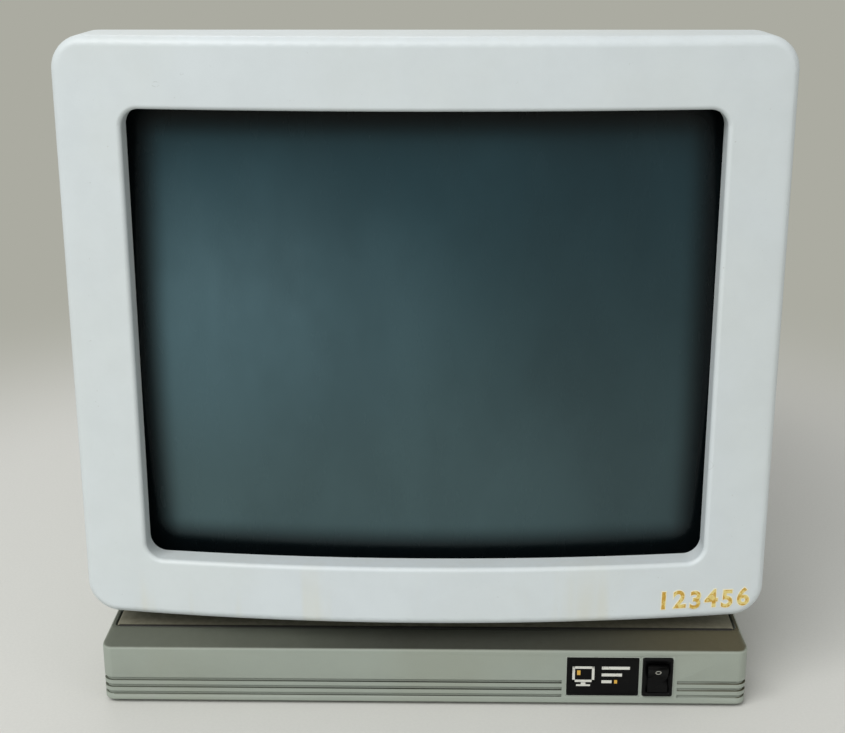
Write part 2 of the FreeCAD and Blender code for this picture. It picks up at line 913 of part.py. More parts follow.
def base_cover():
    body = new_body("base_cover")
    sheet = rounded(
        sketch(body, "cover_outline", "XY", "cover_bottom"),
        "-cover_side + cover_gap",
        "cover_side - cover_gap",
        "cover_front + cover_gap",
        "cover_back - cover_gap",
        "base_corner - rim_width - cover_gap",
    )
    pad(body, sheet, "cover_thickness")
    dress(body, "Fillet", "cover_round", lambda edge: level(edge, "Z", "cover_top"))
    collar = sketch(body, "collar_outline", "XY", "collar_low")
    circle(collar, "0", "swivel_y", "hub_radius + collar_wall")
    pad(body, collar, "collar_depth")
    bore = circle(sketch(body, "hub_hole", "XY", "cover_top"), "0", "swivel_y", "hub_radius + swivel_play")
    pocket(body, bore, "cover_thickness + collar_depth")
    bosses = sketch(body, "boss_outline", "XY", "floor_top")
    holes = sketch(body, "boss_holes", "XY", "floor_top")
    for x, y in cover_bosses():
        circle(bosses, x, y, "cover_boss_radius")
        circle(holes, x, y, "cover_screw_radius + screw_fit")
    pad(body, bosses, "cover_bottom - floor_top")
    pocket(body, holes, "cover_bottom - floor_top - base_wall", reverse=True)
    slot = rounded(
        sketch(body, "slot_outline", "XY", "cover_top"),
        "-cover_side + 3 * cover_boss_inset",
        "-cover_side + 3 * cover_boss_inset + cover_slot_width",
        "cover_slot_y",
        "cover_slot_y + cover_slot_length",
        "cover_slot_width / 2.1",
    )
    slots = pocket(body, slot, "cover_thickness")
    repeat(body, "LinearPattern", slots, "X_Axis", "9 * cover_slot_pitch", "10")


def base_small_parts():
    feet = []
    inner = "(half_base - foot_inset)"
    for index, (x, y) in enumerate(ENDS):
        at = ["%d * %s" % (x, inner), "base_front + foot_inset", "0"]
        if y > 0:
            at[1] = "base_back - foot_inset"
        radii = ("foot_radius - foot_height / 2", "foot_radius")
        feet.append(cone("foot_%d" % index, "Z", at, *radii, "foot_height"))
    group("rubber_feet", feet)
    screws = []
    for index, (x, y) in enumerate(cover_bosses()):
        at = (x, y, "foot_height + cover_screw_sink")
        length = "base_wall - cover_screw_sink + cover_screw_bite"
        screws.append(screw("cover_screw_%d" % index, "Z", at, 1, "cover_screw", length))
    group("cover_screws", screws)
    board_screws = []
    for index, (x, y) in enumerate(board_corners("logic") + board_corners("power")):
        at = (x, y, "board_top")
        length = "board_thickness + post_height - screw_end"
        board_screws.append(screw("board_screw_%d" % index, "Z", at, -1, "board_screw", length))
    group("board_screws", board_screws)


def badge():
    body = new_body("badge_plate")
    front = "base_front - badge_proud"
    plate = centred(
        sketch(body, "badge_outline", "XZ", front + " + badge_thickness"),
        "badge_x",
        "badge_mid_z",
        "badge_width",
        "badge_height",
        "badge_corner",
    )
    pad(body, plate, "badge_thickness")
    field = centred(
        sketch(body, "badge_field", "XZ", front),
        "badge_x",
        "badge_mid_z",
        "badge_width - 2 * badge_border",
        "badge_height - 2 * badge_border",
        "badge_corner / 2",
    )
    pocket(body, field, "badge_sink")


# Power switch


def power_switch():
    body = new_body("switch_frame")
    middle = ("switch_x", "switch_mid_z")
    flange = sketch(body, "flange_outline", "XZ", "base_front")
    centred(flange, *middle, "switch_width", "switch_height", "switch_corner")
    pad(body, flange, "switch_flange")
    dress(body, "Fillet", "switch_flange / 2", lambda edge: level(edge, "Y", "base_front - switch_flange"))
    sleeve = sketch(body, "sleeve_outline", "XZ", "sleeve_end")
    centred(sleeve, *middle, "sleeve_width", "sleeve_height", "switch_corner")
    pad(body, sleeve, "switch_sleeve_depth")
    well = sketch(body, "well_outline", "XZ", "base_front - switch_flange")
    centred(well, *middle, "switch_window_width", "switch_window_height", "switch_corner / 2")
    pocket(body, well, "switch_sleeve_depth + switch_flange - switch_sleeve_wall")
    pivot = circle(
        sketch(body, "pivot_holes", "YZ", "switch_x - sleeve_width / 2"),
        "rocker_y",
        "switch_mid_z",
        "rocker_pin_radius + pin_play",
    )
    pocket(body, pivot, "sleeve_width", reverse=True)

    rocker = new_body("switch_rocker")
    profile = sketch(rocker, "rocker_outline", "YZ", "switch_x - switch_window_width / 2 + fit_gap")
    tall = "(switch_window_height / 2 - 2 * fit_gap)"
    reach = "(rocker_pivot_depth + switch_flange)"
    near = "-%s + rocker_round" % reach
    crown = "-%s - rocker_stand" % reach
    corners = [
        (crown, "-%s + rocker_round" % tall),
        (near, "-" + tall),
        ("0", "-%s + rocker_round" % tall),
        ("rocker_depth", "-rocker_waist"),
        ("rocker_depth", "rocker_waist"),
        ("0", "%s - rocker_round" % tall),
        (near, tall),
        (crown, "%s - rocker_round" % tall),
        (near, "0"),
    ]
    turned = []
    for along, up in corners:
        y = "rocker_y + (%s) * cos(rocker_tip) - (%s) * sin(rocker_tip)" % (along, up)
        z = "switch_mid_z + (%s) * sin(rocker_tip) + (%s) * cos(rocker_tip)" % (along, up)
        turned.append((y, z))
    outline(profile, turned)
    pad(rocker, profile, "switch_window_width - 2 * fit_gap")
    pin = sketch(rocker, "rocker_pin", "YZ", "switch_x - sleeve_width / 2")
    circle(pin, "rocker_y", "switch_mid_z", "rocker_pin_radius")
    pad(rocker, pin, "sleeve_width")

    back = block(
        "contact_block",
        ("switch_x - sleeve_width / 2", "sleeve_end", "switch_mid_z - sleeve_height / 2"),
        ("sleeve_width", "switch_body_depth", "sleeve_height"),
    )
    blades = [back]
    size = ("switch_blade_width", "switch_blade_length", "switch_blade_thickness")
    for index, side in enumerate((-1, 1)):
        rise = "switch_mid_z + %d * switch_blade_pitch / 2 - switch_blade_thickness / 2" % side
        at = ("switch_x - switch_blade_width / 2", "sleeve_end + switch_body_depth", rise)
        blades.append(block("contact_blade_%d" % index, at, size))
    keep("switch_contacts", join("switch_contacts", blades))


# Rear panel of the base and its connectors


def rear_panel():
    body = new_body("rear_panel")
    sheet = plain(
        sketch(body, "panel_outline", "XZ", "panel_out"),
        "window_left - panel_lap",
        "window_right + panel_lap",
        "floor_top",
        "ledge_z - running_gap",
    )
    pad(body, sheet, "panel_thickness")
    cuts = sketch(body, "panel_cuts", "XZ", "panel_y")
    cut_round = "inlet_wall / 2"
    places = (
        ("inlet_x", "inlet_width", "inlet_height", "panel_cut_gap"),
        ("port_x", "port_width", "port_height", "port_flange"),
        ("port_x - port_pitch", "port_width", "port_height", "port_flange"),
        ("jack_x", "jack_width", "jack_height", "panel_cut_gap"),
    )
    for x, width, height, gap in places:
        size = ("%s + 2 * %s" % (width, gap), "%s + 2 * %s" % (height, gap))
        centred(cuts, x, "window_mid_z", *size, cut_round)
    pocket(body, cuts, "panel_thickness")


def mains_inlet():
    body = new_body("mains_inlet")
    flange = sketch(body, "inlet_flange_outline", "XZ", "panel_out + inlet_flange")
    centred(flange, "inlet_x", "window_mid_z", "inlet_flange_width", "inlet_flange_height", "inlet_wall")
    pad(body, flange, "inlet_flange")
    shell = sketch(body, "inlet_shell", "XZ", "panel_out")
    centred(shell, "inlet_x", "window_mid_z", "inlet_width", "inlet_height", "inlet_wall / 2")
    pad(body, shell, "inlet_depth")
    well = sketch(body, "inlet_well", "XZ", "panel_out + inlet_flange")
    right = "inlet_x + inlet_width / 2 - inlet_wall"
    left = "inlet_x - inlet_width / 2 + inlet_wall"
    low = "window_mid_z - inlet_height / 2 + inlet_wall"
    high = "window_mid_z + inlet_height / 2 - inlet_wall"
    outline(
        well,
        [
            (left, low),
            (right, low),
            (right, high + " - inlet_corner"),
            (right + " - inlet_corner", high),
            (left + " + inlet_corner", high),
            (left, high + " - inlet_corner"),
        ],
    )
    pocket(body, well, "inlet_depth + inlet_flange - 2 * inlet_wall", reverse=True)
    drill = sketch(body, "inlet_drill", "XZ", "panel_out + inlet_flange")
    screw_x = "inlet_x + %d * (inlet_flange_width + inlet_width) / 4"
    for side in (-1, 1):
        circle(drill, screw_x % side, "window_mid_z", "inlet_screw_radius + screw_fit")
    pocket(body, drill, "inlet_flange - screw_end / 2", reverse=True)
    pins = []
    floor = "panel_out - inlet_depth + 2 * inlet_wall"
    size = ("inlet_pin_width", "inlet_pin_length", "inlet_pin_height")
    for index, (x, z) in enumerate(((-1, 0), (1, 0), (0, 1))):
        at = (
            "inlet_x + %d * inlet_pin_pitch - inlet_pin_width / 2" % x,
            floor,
            "window_mid_z + %d * inlet_pin_height - inlet_pin_height + inlet_pin_rise" % z,
        )
        pins.append(block("inlet_pin_%d" % index, at, size))
    group("inlet_pins", pins)
    screws = []
    for index, side in enumerate((-1, 1)):
        at = (screw_x % side, "panel_out + inlet_flange", "window_mid_z")
        screws.append(screw("inlet_screw_%d" % index, "Y", at, -1, "inlet_screw", "inlet_flange - screw_end"))
    return screws


def serial_port(name, x):
    # A trapezoid shell on a flange, with a nut each side.
    body = new_body(name)
    flange = sketch(body, name + "_flange", "XZ", "panel_out + port_flange")
    centred(flange, x, "window_mid_z", "port_flange_width", "port_flange_height", "port_nut_radius / 2")
    pad(body, flange, "port_flange")
    shell = sketch(body, name + "_shell", "XZ", "panel_out + port_reach")
    low = "window_mid_z - port_height / 2"
    high = "window_mid_z + port_height / 2"
    trapezoid = [
        (x + " - port_width / 2 + port_slant", low),
        (x + " + port_width / 2 - port_slant", low),
        (x + " + port_width / 2", high),
        (x + " - port_width / 2", high),
    ]
    outline(shell, trapezoid)
    pad(body, shell, "port_reach + port_body_depth")
    dress(body, "Fillet", "port_slant", lambda edge: along_shell(edge))
    nuts = sketch(body, name + "_nuts", "XZ", "panel_out + port_flange + port_nut_length")
    for side in (-1, 1):
        place = "%s + %d * (port_width + port_flange_width) / 4" % (x, side)
        circle(nuts, place, "window_mid_z", "port_nut_radius")
    pad(body, nuts, "port_nut_length")


def along_shell(edge):
    # The four long edges of the shell outside the flange.
    lengthwise = abs(edge.tangentAt(edge.FirstParameter).y) > 0.99
    reaches_out = edge.BoundBox.YMax > value("panel_out + port_reach") - 0.01
    return lengthwise and reaches_out and edge.Length > value("port_flange") + 1


def keyboard_jack():
    body = new_body("keyboard_jack")
    face = "panel_out + jack_reach"
    shell = sketch(body, "jack_outline", "XZ", face)
    centred(shell, "jack_x", "window_mid_z", "jack_width", "jack_height", "2 * jack_round")
    pad(body, shell, "jack_depth")
    mouth = sketch(body, "jack_mouth", "XZ", face)
    centred(mouth, "jack_x", "window_mid_z", "jack_opening_width", "jack_opening_height", "jack_round")
    pocket(body, mouth, "jack_opening_depth", reverse=True)
    notch = sketch(body, "jack_notch", "XZ", face)
    low = "window_mid_z - jack_opening_height / 2 - jack_notch_height / 3"
    centred(notch, "jack_x", low, "jack_notch_width", "jack_notch_height", "jack_round")
    pocket(body, notch, "jack_opening_depth", reverse=True)


# Boards in the base


def board_sheet(name, left, right, front, back, low):
    body = new_body(name)
    sheet = rounded(sketch(body, name + "_outline", "XY", low), left, right, front, back, "board_margin / 3")
    pad(body, sheet, "board_thickness")
    return body


def base_boards():
    for board in ("logic", "power"):
        edges = ["%s_%s" % (board, side) for side in ("left", "right", "front", "back")]
        body = board_sheet(board + "_board", *edges, "board_z")
        holes = sketch(body, board + "_board_holes", "XY", "board_top")
        for x, y in board_corners(board):
            circle(holes, x, y, "board_screw_radius + screw_fit")
        pocket(body, holes, "board_thickness")
    logic_parts()


def logic_parts():
    # Rows of chips: place from the front, length, width and number, all but the last in grid steps.
    chips = []
    rows = ((10, 16, 6, 3), (23, 12, 6, 3), (36, 8, 3, 4), (46, 8, 3, 4), (57, 8, 3, 5), (69, 8, 3, 5))
    for row, (y, long, wide, count) in enumerate(rows):
        for column in range(count):
            pitch = "%d * (logic_right - logic_left - 4 * board_margin) / %d" % (column, count)
            at = ("logic_left + 2 * board_margin + " + pitch, "logic_front + " + grid(y), "board_top")
            chips.append(block("chip_%d_%d" % (row, column), at, (grid(long), grid(wide), "chip_height")))
    group("logic_chips", chips)
    at = ("logic_right - " + grid(6), "logic_back - " + grid(12), "board_top")
    keep("clock_crystal", rod("crystal_can", "Z", at, grid(1.6), grid(1.4)))


def power_place(x, y, rise="0"):
    return ("power_left + " + grid(x), "power_front + " + grid(y), "board_top + " + rise)


def power_parts():
    core = block("core_block", power_place(5, 33), (grid(14), grid(12), grid(5.5)))
    winding = block("winding_block", power_place(7, 31), (grid(10), grid(16), grid(5)))
    keep("power_transformer", join("power_transformer", [core, winding]))
    capacitors = []
    # Each can lies down: place across, place from the front, radius and length in grid steps.
    sizes = ((23, 20, 3, 12), (8, 14, 2, 7), (8, 22.5, 2, 7), (8, 55, 2.5, 9))
    for index, (x, y, radius, length) in enumerate(sizes):
        at = power_place(x, y, grid(radius))
        capacitors.append(rod("power_can_%d" % index, "Y", at, grid(radius), grid(length)))
    group("power_capacitors", capacitors)
    height = grid(5.5)
    at = ("power_right - " + grid(4.7), "power_front + " + grid(35), "board_top")
    fins = [block("base_sink_plate", at, (grid(0.8), grid(22), height))]
    for index in range(6):
        at = ("power_right - " + grid(4), "power_front + " + grid(36 + 4 * index), "board_top")
        fins.append(block("base_sink_fin_%d" % index, at, (grid(2.8), grid(0.55), height)))
    keep("power_heat_sink", join("power_heat_sink", fins))
    tube = rod("fuse_tube", "Y", power_place(24.5, 59, grid(2.1)), grid(1), grid(8))
    clips = [tube, block("fuse_holder", power_place(23, 58.2), (grid(3), grid(9.6), grid(0.9)))]
    for index, y in enumerate((58.6, 65.4)):
        at = power_place(23.2, y, grid(0.8))
        clips.append(block("fuse_clip_%d" % index, at, (grid(2.6), grid(1.8), grid(2.1))))
    keep("mains_fuse", join("mains_fuse", clips))


# Swivel and tilt


def swivel():
    body = new_body("swivel_yoke")
    turntable = sketch(body, "turntable", "XY", "disc_low")
    circle(turntable, "0", "swivel_y", "disc_radius")
    pad(body, turntable, "disc_thickness")
    dress(body, "Chamfer", "disc_thickness / 3", lambda edge: level(edge, "Z", "disc_top"))
    hub = circle(sketch(body, "hub_outline", "XY", "hub_low"), "0", "swivel_y", "hub_radius")
    pad(body, hub, "disc_low - hub_low")
    ears = sketch(body, "ear_outline", "YZ", "ear_inner")
    ear_corners = [
        ("swivel_y - ear_half_length - ear_spread", "disc_top"),
        ("swivel_y + ear_half_length + ear_spread", "disc_top"),
        ("swivel_y + ear_half_length", "tilt_axis_z"),
        ("swivel_y - ear_half_length", "tilt_axis_z", "ear_half_length + 0.001"),
    ]
    outline(ears, ear_corners)
    pad(body, ears, "ear_thickness")
    second = sketch(body, "second_ear_outline", "YZ", "-ear_outer")
    outline(second, ear_corners)
    pad(body, second, "ear_thickness")
    holes = sketch(body, "ear_holes", "YZ", "-ear_outer")
    circle(holes, "swivel_y", "tilt_axis_z", "pin_radius + pin_play")
    pocket(body, holes, "2 * ear_outer", reverse=True)
    bore = circle(sketch(body, "hub_bore_outline", "XY", "disc_top"), "0", "swivel_y", "hub_bore")
    pocket(body, bore, "disc_top - hub_low")
    drill = sketch(body, "retainer_drill", "XY", "hub_low")
    for x, y in retainer_places():
        circle(drill, x, y, "retainer_screw_radius + screw_fit")
    pocket(body, drill, "retainer_screw_bite + screw_end", reverse=True)

    ring = new_body("glide_ring")
    track = sketch(ring, "glide_outline", "XY", "cover_top")
    circle(track, "0", "swivel_y", "disc_radius - 1")
    circle(track, "0", "swivel_y", "disc_radius - 1 - glide_width")
    pad(ring, track, "glide_height")

    retainer = new_body("retainer_ring")
    plate = sketch(retainer, "retainer_outline", "XY", "hub_low - retainer_thickness")
    circle(plate, "0", "swivel_y", "retainer_radius")
    circle(plate, "0", "swivel_y", "hub_bore")
    pad(retainer, plate, "retainer_thickness")
    holes = sketch(retainer, "retainer_holes", "XY", "hub_low")
    for x, y in retainer_places():
        circle(holes, x, y, "retainer_screw_radius + screw_fit")
    pocket(retainer, holes, "retainer_thickness")
    screws = []
    for index, (x, y) in enumerate(retainer_places()):
        at = (x, y, "hub_low - retainer_thickness")
        length = "retainer_thickness + retainer_screw_bite"
        screws.append(screw("retainer_screw_%d" % index, "Z", at, 1, "retainer_screw", length))
    group("retainer_screws", screws)


def retainer_places():
    # Three screws evenly round the hub wall.
    radius = "(hub_radius + hub_bore) / 2"
    turns = [90 + 120 * index for index in range(3)]
    offsets = [("%s * cos(%d)" % (radius, turn), "%s * sin(%d)" % (radius, turn)) for turn in turns]
    return [(x, "swivel_y + " + y) for x, y in offsets]


def tilt_parts():
    body = new_body("tilt_bracket")
    top = "housing_floor + bracket_height"
    profile = sketch(body, "bracket_outline", "XZ", "swivel_y + bracket_half_length")
    foot = "leg_outer + bracket_flange"
    low = "housing_floor"
    step = "housing_floor + bracket_thickness"
    roof = top + " - bracket_thickness"
    outline(
        profile,
        [
            ("-(%s)" % foot, low),
            ("-leg_inner", low),
            ("-leg_inner", roof),
            ("leg_inner", roof),
            ("leg_inner", low),
            (foot, low),
            (foot, step),
            ("leg_outer", step),
            ("leg_outer", top),
            ("-leg_outer", top),
            ("-leg_outer", step),
            ("-(%s)" % foot, step),
        ],
    )
    pad(body, profile, "2 * bracket_half_length")
    window = sketch(body, "bracket_window", "XY", top)
    centred(window, "0", "swivel_y", "leg_inner", "bracket_half_length", "2 * bracket_thickness")
    pocket(body, window, "bracket_thickness")
    holes = sketch(body, "bracket_pin_holes", "YZ", "-leg_outer")
    circle(holes, "swivel_y", "tilt_axis_z", "pin_radius + screw_fit")
    pocket(body, holes, "2 * leg_outer", reverse=True)
    screw_holes = sketch(body, "bracket_screw_holes", "XY", step)
    for x, y in bracket_screws():
        circle(screw_holes, x, y, "board_screw_radius + screw_fit")
    pocket(body, screw_holes, "bracket_thickness")

    pins = []
    washers = []
    depth = "washer_gap - running_gap"
    heads = ("pin_head_radius", "pin_head_radius - 1")
    length = "leg_outer - ear_inner + pin_tail"
    sides = (
        ("-leg_outer", "-leg_outer - pin_head", heads[::-1], "-leg_inner"),
        ("ear_inner - pin_tail", "leg_outer", heads, "leg_inner - washer_gap + running_gap"),
    )
    for index, (start, head_start, radii, washer_start) in enumerate(sides):
        shank = rod("tilt_shank_%d" % index, "X", (start, "swivel_y", "tilt_axis_z"), "pin_radius", length)
        head = cone("tilt_head_%d" % index, "X", (head_start, "swivel_y", "tilt_axis_z"), *radii, "pin_head")
        pins.append(join("tilt_pin_%d" % index, [shank, head]))
        at = (washer_start, "swivel_y", "tilt_axis_z")
        disc = rod("washer_disc_%d" % index, "X", at, "washer_radius", depth)
        hole = rod("washer_hole_%d" % index, "X", at, "pin_radius + screw_fit", depth)
        washers.append(take("washer_%d" % index, disc, hole))
    group("tilt_pins", pins)
    group("friction_washers", washers)
    screws = []
    for index, (x, y) in enumerate(bracket_screws()):
        length = "bracket_thickness + housing_wall - screw_end"
        screws.append(screw("bracket_screw_%d" % index, "Z", (x, y, step), -1, "board_screw", length))
    group("bracket_screws", screws)


def bracket_screws():
    x = "(leg_outer + bracket_flange - 5 * board_screw_radius)"
    y = "bracket_half_length - 2 * board_screw_head"
    return [("%d * %s" % (a, x), "swivel_y + %d * (%s)" % (b, y)) for a, b in ENDS]


# Front bezel


def nose_cut(body, name, front, radius):
    # Trims a body to a face that bulges forward about an upright axis.
    side = "half_bezel + bezel_depth"
    near = front + " - 2 * bezel_depth"
    edge = "%s + %s - sqrt((%s) ^ 2 - (%s) ^ 2)" % (front, radius, radius, side)
    plan = sketch(body, name + "_nose", "XY", "bezel_low - bezel_depth")
    outline(plan, [("-(%s)" % side, near), (side, near), (side, edge), ("-(%s)" % side, edge, "-" + radius)])
    pocket(body, plan, "bezel_height + 2 * bezel_depth", reverse=True)


def drafted_frame(body, name, inset):
    # The block of the bezel, a little smaller at the back than at the front.
    sections = []
    for end, y, growth in (
        ("rear", "bezel_back", "-bezel_depth * tan(bezel_draft)"),
        ("front", "bezel_edge - bezel_depth", "bezel_depth * tan(bezel_draft)"),
    ):
        section = sketch(body, "%s_%s_outline" % (name, end), "XZ", y)
        change = "2 * (%s - %s)" % (growth, inset)
        size = ("bezel_width + " + change, "bezel_height + " + change)
        centred(section, "0", "screen_z", *size, "bezel_corner - " + inset)
        sections.append(section)
    blend(body, "Additive", sections)


def on_bezel_face(edge):
    middle = value("bezel_front + face_radius")
    radius = value("face_radius")
    return all(abs(math.hypot(end.X, end.Y - middle) - radius) < 0.01 for end in edge.Vertexes)


def bezel_cavity():
    # The space inside the bezel, with the screen sleeve and the screw bosses left out of it.
    tool = doc.addObject("PartDesign::Body", "bezel_cavity")
    drafted_frame(tool, "cavity", "bezel_wall")
    nose_cut(tool, "cavity", "bezel_front + bezel_wall", "face_radius - bezel_wall")
    sleeve = sketch(tool, "sleeve_outline", "XZ", "bezel_edge + sleeve_depth")
    size = ("opening_width + 2 * sleeve_wall", "opening_height + 2 * sleeve_wall")
    centred(sleeve, "0", "opening_z", *size, "opening_corner + sleeve_wall")
    pocket(tool, sleeve, "2 * bezel_depth", reverse=True)
    bosses = sketch(tool, "tube_bosses", "XZ", "ear_plate_y")
    for x, z in tube_screw_places():
        circle(bosses, x, z, "tube_boss_radius")
    pocket(tool, bosses, "2 * bezel_depth", reverse=True)
    bosses = sketch(tool, "housing_bosses", "XZ", "bezel_back")
    for x, z in tower_places():
        circle(bosses, x, z, "tube_boss_radius")
    pocket(tool, bosses, "2 * bezel_depth", reverse=True)
    return tool


def tube_screw_places():
    return [("%d * ear_x" % x, "screen_z + %d * ear_z" % z) for x, z in ENDS]


def tower_places():
    heights = {-1: "tower_low_z", 1: "tower_high_z"}
    return [("%d * tower_x" % x, heights[z]) for x, z in ENDS]


def front_bezel():
    body = new_body("front_bezel")
    drafted_frame(body, "bezel", "0")
    nose_cut(body, "face", "bezel_front", "face_radius")
    dress(body, "Fillet", "bezel_round", on_bezel_face)
    hollow = body.newObject("PartDesign::Boolean", "bezel_hollow")
    hollow.setObjects([bezel_cavity()])
    hollow.Type = "Cut"
    doc.recompute()
    opening = sketch(body, "opening_outline", "XZ", "bezel_front - 1")
    centred(opening, "0", "opening_z", "opening_width", "opening_height", "opening_corner")
    pocket(body, opening, "2 * bezel_depth")
    inside = "(opening_width / 2 + 1)"
    dress(
        body,
        "Fillet",
        "lip_round",
        lambda edge: on_bezel_face(edge) and abs(edge.BoundBox.Center.x) < value(inside),
    )
    back = sketch(body, "sleeve_back", "XY", "opening_z - opening_height / 2 - sleeve_wall - 0.1")
    radius = "(face_radius - sleeve_depth)"
    side = "(opening_width / 2 + sleeve_wall + 0.1)"
    near = "bezel_front + face_radius - sqrt(%s ^ 2 - %s ^ 2)" % (radius, side)
    outline(
        back, [("-" + side, near), (side, near, radius), (side, "bezel_back"), ("-" + side, "bezel_back")]
    )
    pocket(body, back, "opening_height + 2 * sleeve_wall + 0.2", reverse=True)
    holes = sketch(body, "tube_screw_holes", "XZ", "ear_plate_y")
    for x, z in tube_screw_places():
        circle(holes, x, z, "tube_screw_radius + screw_fit")
    pocket(body, holes, "tube_screw_bite", reverse=True)
    holes = sketch(body, "housing_screw_holes", "XZ", "bezel_back")
    for x, z in tower_places():
        circle(holes, x, z, "housing_screw_radius + screw_fit")
    pocket(body, holes, "housing_screw_bite", reverse=True)


# Rear housing


def housing_loft(name, inset):
    # Rounded sections at the bezel, at the bend of the sides, at the bend of the underside
    # and at the back.
    stations = (
        ("bezel_back", "housing_front_half", "housing_bottom", "housing_front_top"),
        ("housing_bend_y", "housing_mid_width / 2", "housing_bottom", "housing_mid_top"),
        ("under_bend_y", "under_bend_width / 2", "housing_bottom", "under_bend_top"),
        ("housing_back - " + inset, "housing_back_width / 2", "housing_back_low", "housing_back_top"),
    )
    sections = []
    for index, (y, half, low, high) in enumerate(stations):
        section = free_sketch("%s_section_%d" % (name, index), "XZ", y)
        rounded(
            section,
            "-(%s) + %s" % (half, inset),
            "%s - %s" % (half, inset),
            "%s + %s" % (low, inset),
            "%s - %s" % (high, inset),
            "housing_corner - " + inset,
        )
        sections.append(section)
    return solid_loft(name, sections)


def video_posts():
    x = "(video_half - board_margin)"
    return [
        ("%d * %s" % (a, x), "video_back - board_margin" if b > 0 else "video_front + board_margin")
        for a, b in ENDS
    ]


def rear_housing():
    ribs = []
    for index, (x, z) in enumerate(tower_places()):
        length = "screw_tower_length"
        ribs.append(rod("tower_%d" % index, "Y", (x, "bezel_back", z), "tower_radius", length))
    for index, (x, y) in enumerate(video_posts()):
        at = (x, y, "housing_bottom")
        ribs.append(rod("video_post_%d" % index, "Z", at, "post_radius", "video_z - housing_bottom"))
    edge = "(control_width / 2 + 1)"
    at = ("wheel_x - " + edge, "wheel_y - " + edge, "control_low - housing_wall")
    ribs.append(block("control_shelf", at, ("2 * control_width", "2 * " + edge, "housing_wall")))
    hollow = take("housing_hollow", housing_loft("inner_housing", "housing_wall"), join("housing_ribs", ribs))
    shell = take("housing_shell", housing_loft("outer_housing", "0"), hollow)
    cuts = []
    for index, (x, z) in enumerate(tower_places()):
        y = "bezel_back + tower_floor"
        cuts.append(rod("tower_bore_%d" % index, "Y", (x, y, z), "tower_bore", "overall_depth"))
        radius = "housing_screw_radius + screw_fit"
        cuts.append(rod("tower_hole_%d" % index, "Y", (x, "bezel_back", z), radius, "tower_floor"))
    half = "(ear_outer + window_gap)"
    reach = "(ear_half_length + 4 * window_gap)"
    at = ("-" + half, "swivel_y - " + reach, "housing_bottom - 1")
    cuts.append(block("ear_window", at, ("2 * " + half, "2 * " + reach, "housing_wall + 2")))
    slot_half = "(wheel_radius - wheel_gap)"
    slot_low = "wheel_z - wheel_thickness / 2 - wheel_gap"
    at = ("wheel_wall_x - 2 * housing_wall", "wheel_y - " + slot_half, slot_low)
    size = ("4 * housing_wall", "2 * " + slot_half, "wheel_thickness + 2 * wheel_gap")
    cuts.append(block("wheel_slot", at, size))
    radius = "board_screw_radius + screw_fit"
    for index, (x, y) in enumerate(video_posts()):
        at = (x, y, "video_z - post_hole_depth")
        cuts.append(rod("video_hole_%d" % index, "Z", at, radius, "post_hole_depth"))
    for index, (x, y) in enumerate(bracket_screws()):
        at = (x, y, "housing_bottom + 1")
        cuts.append(rod("bracket_hole_%d" % index, "Z", at, radius, "housing_wall"))
    for index in range(15):
        at = ("%d * vent_pitch - vent_width / 2" % (index - 7), "top_vent_y", "screen_z")
        cuts.append(block("top_vent_%d" % index, at, ("vent_width", "top_vent_length", "bezel_height")))
    for index in range(8):
        y = "side_vent_y + %d * vent_pitch" % index
        at = ("-half_bezel", y, "side_vent_z - side_vent_height / 2")
        cuts.append(block("side_vent_%d" % index, at, ("bezel_width", "vent_width", "side_vent_height")))
    for index in range(6):
        z = "back_vent_z + %d * vent_pitch" % index
        at = ("-back_vent_width / 2", "housing_back - 3 * housing_wall", z)
        cuts.append(block("back_vent_%d" % index, at, ("back_vent_width", "4 * housing_wall", "vent_width")))
    keep("rear_housing", take("rear_housing", shell, join("housing_cuts", cuts)))
    screws = []
    for index, (x, z) in enumerate(tower_places()):
        at = (x, "bezel_back + tower_floor", z)
        length = "tower_floor + housing_screw_bite - screw_end"
        screws.append(screw("housing_screw_%d" % index, "Y", at, -1, "housing_screw", length))
    group("housing_screws", screws)


# Picture tube


